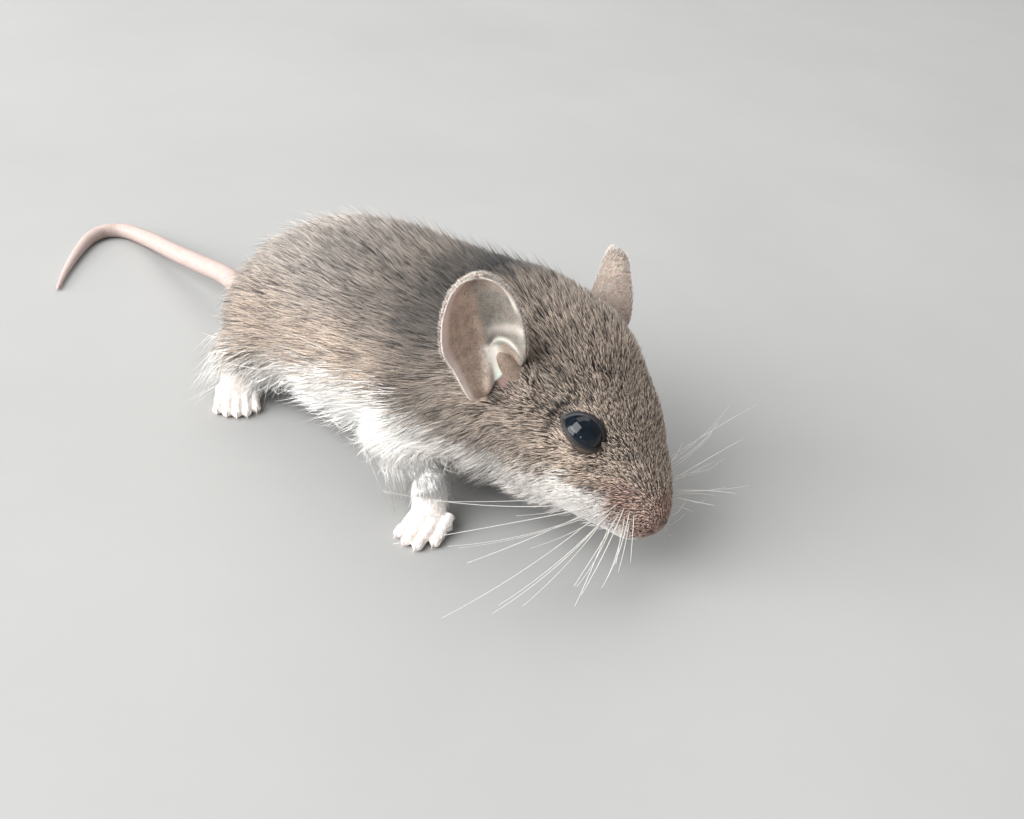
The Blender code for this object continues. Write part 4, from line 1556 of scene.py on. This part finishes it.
@dataclass
class Tail:
    """The thin ringed tail."""

    pose: Pose
    path: tuple = ((-19.0, -0.8, 7.7), (-23.8, -0.1, 6.8), (-29.2, 1.8, 5.55),
                   (-35.3, 3.0, 4.1), (-41.7, 4.1, 2.7), (-48.2, 5.2, 1.45),
                   (-52.8, 4.9, 0.95), (-54.7, 3.0, 0.84), (-54.5, 0.6, 0.76),
                   (-53.1, -1.9, 0.68), (-51.2, -4.5, 0.58), (-48.9, -7.3, 0.47),
                   (-46.4, -10.0, 0.35))
    base: float = 1.18
    tip: float = 0.22
    ring: float = 0.40
    columns: int = 18

    def middle_line(self) -> tuple:
        """Space places evenly along the tail.

        Returns:
            The places, the tail's radius there and how far along it they lie.
        """
        knots = np.array([self.pose.spot(*place) for place in self.path])
        share = np.linspace(0, 1, len(knots))
        size = self.base + (self.tip - self.base) * share ** 2.2
        fine = curve_through(np.column_stack([knots, size]), 24)
        run = np.concatenate([[0], np.cumsum(np.linalg.norm(np.diff(fine[:, :3], axis=0),
                                                            axis=1))])
        even = np.linspace(0, run[-1], int(run[-1] / (self.ring / 3)) + 1)
        places = np.column_stack([np.interp(even, run, fine[:, axis]) for axis in range(4)])
        return places[:, :3], places[:, 3], even

    def build(self) -> Thing:
        """The tail as one ringed tube."""
        path, size, run = self.middle_line()
        turn = run / self.ring
        relief = 1.0 + 0.035 * (2.0 * (turn - np.floor(turn)) - 1.0)
        end = smooth(run[-1] + 0.2, run[-1] - 0.9, run) ** 0.5
        size = size * relief * np.maximum(end, 0.15)
        points, faces = tube(path, size, size, UP, self.columns)
        points[:, 2] = np.maximum(points[:, 2], 0.01)
        tail = new_object("tail_tube", points, faces)
        groove = np.repeat(hump(turn - np.floor(turn), 0.0, 0.3), self.columns)
        mark(tail.data, "fold", np.concatenate([0.6 * groove, [0.0, 0.0]]))
        return tail


@dataclass
class Eyeball:
    """A glossy black eye, a little fuller over the cornea."""

    pose: Pose
    side: Side
    radius: float = Hide.eye_radius
    cornea: float = 0.03      # how much fuller it is there, as a share

    def build(self) -> Thing:
        """Make the eyeball, in millimetres."""
        outward, ahead, above = self.pose.eye_axes(self.side)
        middle = self.pose.eyes[self.side]
        points, faces = ball(middle, np.full(3, self.radius),
                             np.stack([ahead, above, outward]), 64, 96)
        away = points - middle
        fuller = 1.0 + self.cornea * smooth(0.55, 1.0, unit(away) @ outward)
        points = middle + away * fuller[:, None]
        return new_object(f"eyeball_{self.side.word}", points, faces)


# ---- the coat ----

@dataclass
class Tufts(Rows):
    """Many solid tapered tufts, described row by row, before they become a mesh."""

    root: Array
    middle: Array
    tip: Array
    normal: Array
    width: Array
    white: Array
    tone: Array
    hue: Array
    strand: Array
    unwrap: Array

    def build(self, name: str) -> Thing:
        """Make each tuft a closed spindle: a point, a three-cornered waist and a tip.

        Args:
            name: The piece's name.

        Returns:
            The piece in millimetres, with its OFBake map.
        """
        count = len(self.root)
        ahead = unit(self.tip - self.root)
        across = unit(np.cross(ahead, self.normal))
        over = np.cross(across, ahead)
        half = (0.5 * self.width)[:, None]
        points = np.empty((count, 5, 3))
        points[:, 0], points[:, 4] = self.root, self.tip
        for k in range(3):
            turn = math.radians(90.0 + 120.0 * k)
            points[:, 1 + k] = self.middle + half * (across * math.cos(turn)
                                                     + over * 0.8 * math.sin(turn))
        faces, patch = [], []
        for k in range(3):
            following = (k + 1) % 3
            faces += [(0, 1 + following, 1 + k), (1 + k, 1 + following, 4)]
            low, high = k / 3.0, (k + 1) / 3.0
            patch += [(0.5 * (low + high), 0.0), (high, 0.4), (low, 0.4),
                      (low, 0.4), (high, 0.4), (0.5 * (low + high), 1.0)]
        corners = (np.arange(count) * 5)[:, None, None] + np.array(faces)
        thing = new_object(name, points.reshape(-1, 3), [corners.reshape(-1, 3)])
        mark(thing.data, "along", np.tile([0.0, WAIST, WAIST, WAIST, 1.0], count))
        for key in ("white", "tone", "hue", "strand"):
            mark(thing.data, key, np.repeat(getattr(self, key), 5))
        spots = self.unwrap[:, None] * (1.0 - PATCH) + np.array(patch) * PATCH
        layer = thing.data.uv_layers.new(name="OFBake")
        layer.data.foreach_set("uv", spots.astype(np.float32).ravel())
        return thing


class Zone(Enum):
    """Stretches of the coat from the nose back, each a piece of its own on either side."""

    MUZZLE = 0
    FACE = 1
    CROWN = 2
    POLL = 3
    NAPE = 4
    CHEST = 5
    LOIN = 6
    HAUNCH = 7
    RUMP = 8
    LEGS = 9


@dataclass
class Coat:
    """Tufts over the whole skin, laid along it and gathered into small locks."""

    pose: Pose
    pelt: Pelt
    bed: Thing
    scale: float = 1.0
    seed: int = 7
    most: int = 243000
    body_width: float = 0.085
    face_width: float = 0.063
    lock_size: float = 0.5
    face_ends: tuple = (5.6, 11.5, 16.5)           # of the zones, back from the nose tip
    trunk_ends: tuple = (9.0, 2.5, -4.5, -12.0)    # of the zones, forward on the body
    tree: BVHTree = None

    def sow(self) -> tuple:
        """Choose the tufts' roots.

        Returns:
            Places on the skin, the skin's normals there and the source of all chances.
        """
        chance = np.random.default_rng(self.seed)
        mesh = self.bed.data
        points, normals, triangles = (read_points(mesh), read_points(mesh, "normal"),
                                      read_triangles(mesh))
        self.tree = BVHTree.FromPolygons(points.tolist(), triangles.tolist())
        corners = points[triangles]
        area = 0.5 * np.linalg.norm(np.cross(corners[:, 1] - corners[:, 0],
                                             corners[:, 2] - corners[:, 0]), axis=1)
        middle = corners.mean(axis=1)
        wanted = area * self.pelt.density(self.pelt.read(middle)) * self.scale
        wanted = wanted * min(1.0, self.most / wanted.sum())
        total = np.cumsum(wanted)
        count = int(total[-1])
        draws = (np.arange(count) + chance.uniform(0, 1, count)) * (total[-1] / count)
        face = np.minimum(np.searchsorted(total, draws), len(triangles) - 1)
        a, b = chance.uniform(0, 1, (2, count))
        flip = a + b > 1
        a, b = np.where(flip, 1 - a, a), np.where(flip, 1 - b, b)
        shares = np.stack([1 - a - b, a, b], axis=1)[:, :, None]
        return ((corners[face] * shares).sum(axis=1),
                unit((normals[triangles[face]] * shares).sum(axis=1)), chance)

    def over_skin(self, places: Array, height: Array) -> tuple:
        """Set places at heights over the nearest skin, and tell the normals there."""
        found = np.empty((len(places), 6))
        near = self.tree.find_nearest
        for i, place in enumerate(places.tolist()):
            where, normal, _, _ = near(place)
            found[i, :3], found[i, 3:] = where, normal
        return found[:, :3] + found[:, 3:] * height[:, None], found[:, 3:]

    def comb(self, root: Array, normal: Array, at: Places, chance: Chance) -> Array:
        """Choose which way each tuft lies: as the pelt says, a little tousled."""
        lie = self.pelt.lie(at, normal)
        tousle = chance.normal(0, 0.18, len(root)) + 0.28 * ripple(root, 1.7, 31)
        return unit(lie + np.cross(normal, lie) * tousle[:, None])

    def stand(self, root: Array, at: Places, chance: Chance) -> tuple:
        """Choose how high and how far each tuft reaches.

        Args:
            root: The tufts' roots.
            at: What the pelt knows of them.
            chance: The source of the differences.

        Returns:
            Which tufts stand out of the coat, their tips' heights over the skin and how
            far along the skin they reach.
        """
        count = len(root)
        stray = chance.uniform(0, 1, count) < self.pelt.stray_share(at)
        rise = self.pelt.depth(at) * chance.uniform(0.66, 1.12, count)
        long = 1.0 + 0.8 * smooth(9.0, 5.5, at.height)
        hang = 14.0 * smooth(-1.5, -4.0, at.above) * at.on_head
        rise = np.where(stray, rise * chance.uniform(1.2, 1.8, count) * long, rise)
        lift = self.pelt.lift(at) + chance.normal(0, 4.5, count) + np.where(stray, 4 + hang, 0)
        lift = lift + mix(3.0, 7.0, at.on_head) * ripple(root, 1.4, 33)
        least = self.pelt.least_length(at) * chance.uniform(0.8, 1.3, count)
        lift = np.minimum(lift, np.degrees(np.arcsin(np.clip(rise / least, 0.05, 1.0))))
        return stray, rise, rise / np.tan(np.radians(np.clip(lift, 7.0, 80.0)))

    def bend(self, root: Array, lie: Array, rise: Array, flat: Array) -> tuple:
        """Bend each tuft to follow the skin, and tell where its waist and tip are."""
        middle, normal = self.over_skin(root + lie * (flat * WAIST)[:, None], rise * 0.52)
        turned = self.pelt.lie(self.pelt.read(middle), normal)
        onward = unit(0.5 * lie + 0.5 * turned)
        return middle, self.over_skin(middle + onward * (flat * (1 - WAIST))[:, None], rise)[0]

    def grow(self) -> tuple:
        """Lay every tuft.

        Returns:
            The tufts and what the pelt knows of their roots.
        """
        root, normal, chance = self.sow()
        at = self.pelt.read(root)
        count = len(root)
        lie = self.comb(root, normal, at, chance)
        stray, rise, flat = self.stand(root, at, chance)
        middle, tip = self.gather(*self.bend(root, lie, rise, flat), at, chance)
        tip[:, 2] = np.maximum(tip[:, 2], 0.05)
        middle[:, 2] = np.maximum(middle[:, 2], 0.1)
        on_face = at.on_head * smooth(20.0, 8.0, at.back)
        width = mix(self.body_width, self.face_width, on_face) * chance.uniform(.75, 1.2, count)
        width = np.where(stray, width * 0.7, width)
        width = mix(width, width * 0.85, np.maximum(at.on_leg, at.on_foot))
        spread = mix(1.3, 0.62, at.on_head)
        white = (self.pelt.above_line(at) + chance.normal(0, 1.0, count) * spread
                 + 0.35 * ripple(root, 2.4, 5) < 0)
        shaded = at.on_head * (1.0 - np.maximum(at.on_leg, at.on_foot))
        white = white * mix(1.0, 0.68 - 0.18 * smooth(6.0, 11.0, at.back), shaded)
        tone = self.pelt.tone(at) * chance.uniform(0.64, 1.36, count)
        tone = np.where(stray, tone * 1.15, tone)
        strand = chance.uniform(0, 1, count)
        tufts = Tufts(root - normal * 0.05, middle, tip, normal, width, white, tone,
                      self.pelt.hue(at), strand, np.zeros((count, 2)))
        return tufts, at

    def gather(self, middle: Array, tip: Array, at: Places, chance: Chance) -> tuple:
        """Draw neighbouring tips together into locks.

        Args:
            middle: The tufts' waists.
            tip: Their tips.
            at: What the pelt knows of their roots.
            chance: The source of the differences.

        Returns:
            The new waists and tips.
        """
        size = self.lock_size * mix(1.0, 0.75, at.on_head)
        cell = np.floor(tip / size[:, None] + chance.uniform(0, 1, 3)).astype(np.int64)
        _, group = np.unique(np.bitwise_xor.reduce(cell * CELL_PRIMES, axis=1),
                             return_inverse=True)
        share = np.bincount(group).astype(float)
        mean_tip = np.stack([np.bincount(group, tip[:, k]) / share for k in range(3)], axis=1)
        mean_middle = np.stack([np.bincount(group, middle[:, k]) / share
                                for k in range(3)], axis=1)
        pull = chance.uniform(0.12, 0.48, len(tip))
        return (mix(middle, mean_middle[group], pull * 0.35),
                mix(tip, mean_tip[group], pull))

    @staticmethod
    def unwrap(at: Places, zone: Zone) -> Array:
        """Unroll a zone's skin: equal numbers of tufts along it, angle round it.

        Args:
            at: The zone's roots.
            zone: Which zone, which says what runs along it.

        Returns:
            Two numbers from 0 to 1 for each root.
        """
        if zone in (Zone.MUZZLE, Zone.FACE, Zone.CROWN, Zone.POLL):
            along, x, y = at.back, at.aside, at.above - 1.2
        elif zone is Zone.LEGS:
            along, x, y = at.height, at.ahead, at.left
        else:
            along, x, y = at.ahead, at.left, at.height - 12.0
        order = np.argsort(np.argsort(along)) / len(along)
        return np.stack([order, np.arctan2(y, x) / (2 * math.pi) + 0.5], axis=1)

    def zones(self, at: Places) -> Array:
        """The number of each root's zone."""
        face = (at.back[:, None] >= self.face_ends).sum(axis=1)
        trunk = Zone.NAPE.value + (at.ahead[:, None] <= self.trunk_ends).sum(axis=1)
        zone = np.where(at.on_head > 0.6, face, trunk)
        return np.where(at.on_leg > 0.4, Zone.LEGS.value, zone)

    def build(self) -> list:
        """Make the coat's pieces, zone by zone and side by side."""
        tufts, at = self.grow()
        zone = self.zones(at)
        pieces = []
        for which in Zone:
            for side in Side:
                chosen = np.flatnonzero((zone == which.value) & (at.side == side.value))
                part = tufts.choose(chosen)
                part.unwrap = self.unwrap(at.choose(chosen), which)
                pieces.append(part.build(f"coat_{which.name.lower()}_{side.word}"))
        return pieces


@dataclass
class EarDown:
    """Very short hairs on both faces and along the rims of the ears."""

    ears: Ears
    per_mm: float = 60.0
    seed: int = 19

    def build(self, side: Side) -> Thing:
        """Make the short hairs of one ear.

        Args:
            side: Which ear.

        Returns:
            The hairs as one piece.
        """
        chance = np.random.default_rng(self.seed + int(side.value))
        places, up, s, ahead, rise = self.ears.sheet(side)
        _, axis, _, front = self.ears.axes(side)
        rows, columns = up.shape
        count = int(2 * self.per_mm * self.ears.lengths[side] * self.ears.half_width * 1.7)
        row = chance.uniform(8, rows - 1.01, count)
        column = chance.uniform(0, columns - 1.01, count)
        i, k = row.astype(int), column.astype(int)
        a, b = (row - i)[:, None], (column - k)[:, None]
        root = (places[i, k] * (1 - a) * (1 - b) + places[i + 1, k] * a * (1 - b)
                + places[i, k + 1] * (1 - a) * b + places[i + 1, k + 1] * a * b)
        normal = self.ears.square(side, places)[i, k]
        inside = chance.uniform(0, 1, count) < 0.55
        normal = np.where(inside[:, None], normal, -normal)
        spread, rise_here, ahead_here = s[i, k], rise[i, k], ahead[i, k]
        rim = np.maximum(smooth(0.80, 0.97, np.abs(spread)), smooth(0.92, 1.0, up[i, k]))
        ridge = self.ears.fold_line(rise_here)
        band = smooth(ridge + 0.4, ridge - 0.4, ahead_here)
        keep = chance.uniform(0, 1, count) < np.where(inside, 0.08 + 0.92 * np.maximum(
            band * 0.9, rim), 1.0)
        keep &= ~(inside & (rise_here < 4.5) & (ahead_here > ridge))
        away = unit(axis + front * (spread * 0.9)[:, None]
                    + normal * chance.uniform(0.12, 0.35, count)[:, None]
                    + chance.normal(0, 0.2, (count, 3)))
        length = chance.uniform(0.30, 0.6, count) * (1.0 - 0.10 * rim)
        root = root + normal * 0.12
        tip = root + away * length[:, None]
        dark = np.where(inside, band * (1.0 - rim), 0.25)
        tone = mix(1.15, 0.95, dark) * chance.uniform(0.8, 1.2, count)
        white = (chance.uniform(0, 1, count) > 0.3 + 0.5 * dark).astype(float)
        white = white * mix(0.25, 0.42, rim)
        tufts = Tufts(root, root * 0.6 + tip * 0.4, tip, normal, 0.03 + 0.004 * rim, white,
                      tone, np.full(count, 0.3), chance.uniform(0.25, 1.0, count),
                      np.stack([row / rows, column / columns], axis=1)).choose(keep)
        return tufts.build(f"ear_hair_{side.word}")


@dataclass
class Whiskers:
    """Long tapered whiskers on one side of the muzzle."""

    pose: Pose
    tree: BVHTree
    side: Side
    rows: int = 4
    columns: int = 6
    radius: float = 0.05
    longest: float = 21.0
    shortest: float = 5.5
    steps: int = 18
    seed: int = 3

    def settings(self) -> tuple:
        """Sweeps of the rear and front columns, drops of the top and foot rows, upturn."""
        if self.side is Side.RIGHT:
            return (24.0, -62.0), (19.0, 33.0), 0.12
        return (2.0, -50.0), (-26.0, 22.0), -0.30

    def whisker(self, rear: float, low: float, chance: Chance) -> tuple:
        """Make one whisker.

        Args:
            rear: 1 in the rearmost column, 0 in the front one.
            low: 0 in the top row, 1 in the lowest.
            chance: The source of the differences.

        Returns:
            The points and faces of its tube, and the shares along it.
        """
        pose = self.pose
        sweeps, drops, upturn = self.settings()
        root = pose.head_spot(1.5 + 3.6 * rear, self.side.value * 4.0, 1.5 - 2.6 * low)
        root = np.array(self.tree.find_nearest(root.tolist())[0])
        sweep = math.radians(np.interp(rear, [0, 1], sweeps[::-1]) + chance.normal(0, 8))
        drop = math.radians(np.interp(low, [0, 1], drops) + chance.normal(0, 7))
        heading = (pose.left * self.side.value * math.cos(sweep) * math.cos(drop)
                   - pose.forward * math.sin(sweep) * math.cos(drop)
                   - pose.up * math.sin(drop))
        length = self.shortest + (self.longest - self.shortest) * rear ** 0.8
        length *= chance.uniform(0.65, 1.1) * (1.0 - 0.25 * abs(low - 0.55))
        bend = (-pose.forward * 0.16 * chance.uniform(0.0, 1.3)
                + pose.up * upturn * chance.uniform(-0.1, 1.2))
        t = np.linspace(0, 1, self.steps)
        path = root + np.outer(t, heading) * length + np.outer(t ** 2, bend) * length
        floor = 0.35 + 0.2 * t
        path[:, 2] = np.where(path[:, 2] < floor + 1.0, floor + np.exp(
            np.minimum(path[:, 2] - floor - 1.0, 0.0)), path[:, 2])
        size = self.radius * (0.55 + 0.45 * length / self.longest)
        radii = size * (1.0 - t) ** 0.8 + 0.012
        return (*tube(path, radii, radii, unit(pose.up + 0.01), 6), t)

    def build(self) -> Thing:
        """Make all whiskers of one side.

        Returns:
            The whiskers as one piece.
        """
        chance = np.random.default_rng(self.seed + int(self.side.value))
        tubes = []
        for row in range(self.rows):
            for column in range(self.columns):
                rear, low = 1.0 - column / (self.columns - 1), row / (self.rows - 1)
                if rear < 0.3 and low > 0.6 and chance.uniform() < 0.5:
                    continue
                tubes.append(self.whisker(rear, low, chance))
        return join_tubes(f"whiskers_{self.side.word}", tubes)


# ---- the whole mouse, light and camera ----

@dataclass
class Mouse:
    """The animal: builds its pieces in order and dresses them."""

    pose: Pose
    pelt: Pelt

    @staticmethod
    def finishes() -> dict:
        """The materials of the skin, by the kind of its parts."""
        bare = srgb(254, 250, 245), srgb(242, 220, 208)
        return {
            "hide": HideFinish().make(),
            "foot": BareFinish("foot_skin", *bare, 4.5, 0.035).make(),
            "ear": EarFinish().make(),
            "flap": EarFinish("ear_flap", srgb(164, 144, 131), srgb(160, 143, 132)).make(),
            "tail": BareFinish("tail_skin", srgb(194, 178, 172), srgb(174, 149, 141),
                               7.0, 0.02).make(),
        }

    def parts(self, feet: Feet) -> list:
        """Build the parts that the skin is joined from, each listed after its kind."""
        parts = [("hide", Hide(self.pose, self.pelt).build())]
        parts += [("foot", feet.build_foot(foot)) for foot in FEET]
        for side in Side:
            parts += zip(("ear", "flap"), self.pelt.ears.build(side))
        return parts + [("tail", Tail(self.pose).build())]

    def skin(self) -> tuple:
        """Build and dress the one skin.

        Returns:
            The hide with the feet, for the coat to grow on, and the feet.
        """
        feet = Feet(self.pose)
        parts, finishes = self.parts(feet), self.finishes()
        values = {name: np.concatenate([read_mark(part.data, name) for _, part in parts])
                  for name in MARKS}
        order = list(finishes)
        slots = []
        for kind, part in parts:
            slots.append(np.full(len(part.data.polygons), order.index(kind), np.int32))
        twins = [link_new("twin", part.data.copy())
                 for kind, part in parts if kind in ("hide", "foot")]
        bed = join_meshes("bed", twins)
        skin = join_meshes("skin", [part for _, part in parts])
        for name in MARKS:
            mark(skin.data, name, values[name])
        skin.data.materials.clear()
        for material in finishes.values():
            skin.data.materials.append(material)
        skin.data.polygons.foreach_set("material_index", np.concatenate(slots))
        skin.data.shade_smooth()
        settle(skin, Slot.BARE, [])
        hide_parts(*Hide.nodes, *(foot.name for foot in FEET), "ear_left", "ear_right",
                    "tail_base", "tail_middle", "tail_tip")
        return bed, feet

    def build(self) -> None:
        """Build and dress every piece."""
        bed, feet = self.skin()
        gloss = GlossFinish().make()
        for side in Side:
            eye = settle(Eyeball(self.pose, side).build(), Slot.EYE, [gloss])
            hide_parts(f"eye_{side.word}")
        horn = HornFinish("claw_horn", srgb(236, 214, 204), srgb(240, 232, 224)).make()
        for foot in FEET:
            settle(feet.build_claws(foot), Slot.BARE, [horn])
        fur = FurFinish().make()
        coat = Coat(self.pose, self.pelt, bed, 1.0)
        for piece in coat.build():
            settle(piece, Slot.COAT, [fur])
        down = EarDown(self.pelt.ears)
        for side in Side:
            settle(down.build(side), Slot.EAR, [fur])
        hair = HornFinish("whisker_hair", srgb(200, 196, 190), srgb(245, 244, 242)).make()
        for side in Side:
            settle(Whiskers(self.pose, coat.tree, side).build(), Slot.WHITE, [hair])
        bed_mesh = bed.data
        bpy.data.objects.remove(bed, do_unlink=True)
        bpy.data.meshes.remove(bed_mesh)


@dataclass(frozen=True)
class Light:
    """A soft oblong light, placed as the camera sees the mouse, in millimetres."""

    name: str
    sideways: float
    above: float
    towards: float
    size: tuple
    power: float
    colour: tuple


LIGHTS = (
    Light("window", -250.0, 170.0, 290.0, (370.0, 330.0), 2.95, (0.96, 0.98, 1.0)),
    Light("side", -420.0, 60.0, 170.0, (420.0, 240.0), 2.2, (1.0, 0.99, 0.97)),
    Light("sky", 0.0, 430.0, 20.0, (420.0, 420.0), 1.2, (1.0, 0.99, 0.97)),
    Light("lamp", -60.0, -120.0, 270.0, (26.0, 26.0), 0.03, (1.0, 1.0, 1.0)),
)


@dataclass
class Studio:
    """Pale ground, soft window light and the camera."""

    pose: Pose
    aim: tuple = (17.32, -1.92, 12.0)      # forward, left, up of the body
    azimuth: float = -55.61
    elevation: float = 34.47
    roll: float = 7.83
    distance: float = 116.12
    lens: float = 42.1875
    sensor: float = 36.0
    reach: float = 1.8       # lights hang this many times further off, and are as much larger
    floor: float = 1600.0    # half the ground's width
    room: tuple = (0.90, 0.93, 0.96, 1.0)
    room_strength: float = 0.44

    def camera_axes(self) -> tuple:
        """Right, up and backward directions of the camera."""
        a, e, r = (math.radians(x) for x in (self.azimuth, self.elevation, self.roll))
        back = np.array([math.sin(a) * math.cos(e), -math.cos(a) * math.cos(e), math.sin(e)])
        right = unit(np.cross(UP, back))
        up = np.cross(back, right)
        return (right * math.cos(r) + up * math.sin(r),
                up * math.cos(r) - right * math.sin(r), back)

    def place_camera(self) -> None:
        """Create the camera."""
        right, up, back = self.camera_axes()
        camera = bpy.data.cameras.new("camera")
        camera.lens, camera.sensor_width = self.lens, self.sensor
        camera.clip_start = 0.005
        holder = link_new("camera", camera)
        place = (self.pose.spot(*self.aim) + back * self.distance) * MM
        holder.matrix_world = Matrix(((right[0], up[0], back[0], place[0]),
                                      (right[1], up[1], back[1], place[1]),
                                      (right[2], up[2], back[2], place[2]), (0, 0, 0, 1)))
        bpy.context.scene.camera = holder

    def lay_floor(self) -> None:
        """Lay the ground."""
        size = self.floor
        floor = new_object("floor", np.array([[-size, -size, 0], [size, -size, 0],
                                              [size, size, 0], [-size, size, 0]]) * MM,
                           [np.array([[0, 1, 2, 3]])])
        floor.data.materials.append(FloorFinish().make())

    def hang(self, light: Light) -> None:
        """Hang one light."""
        right, up, back = self.camera_axes()
        middle = self.pose.spot(*self.aim)
        away = right * light.sideways + up * light.above + back * light.towards
        place = middle + away * self.reach
        lamp = bpy.data.lights.new(light.name, "AREA")
        lamp.shape = "RECTANGLE"
        lamp.size, lamp.size_y = (side * self.reach * MM for side in light.size)
        lamp.energy, lamp.color = light.power * self.reach ** 2, light.colour
        holder = link_new(light.name, lamp)
        holder.location = Vector(place * MM)
        direction = Vector(middle - place)
        holder.rotation_euler = direction.to_track_quat("-Z", "Y").to_euler()

    def build(self) -> None:
        """Set up ground, camera, lights and the room's light."""
        self.lay_floor()
        self.place_camera()
        for light in LIGHTS:
            self.hang(light)
        world = bpy.data.worlds.new("room")
        world.use_nodes = True
        shade = world.node_tree.nodes["Background"]
        shade.inputs["Color"].default_value = self.room
        shade.inputs["Strength"].default_value = self.room_strength
        bpy.context.scene.world = world
        bpy.context.scene.view_settings.view_transform = "Standard"


def main() -> None:
    """Build the studio and the mouse."""
    logging.basicConfig(level=logging.INFO, format="%(relativeCreated)d %(message)s")
    pose = Pose.from_frame()
    Studio(pose).build()
    Mouse(pose, Pelt(pose, Ears(pose))).build()


if __name__ == "__main__":
    main()
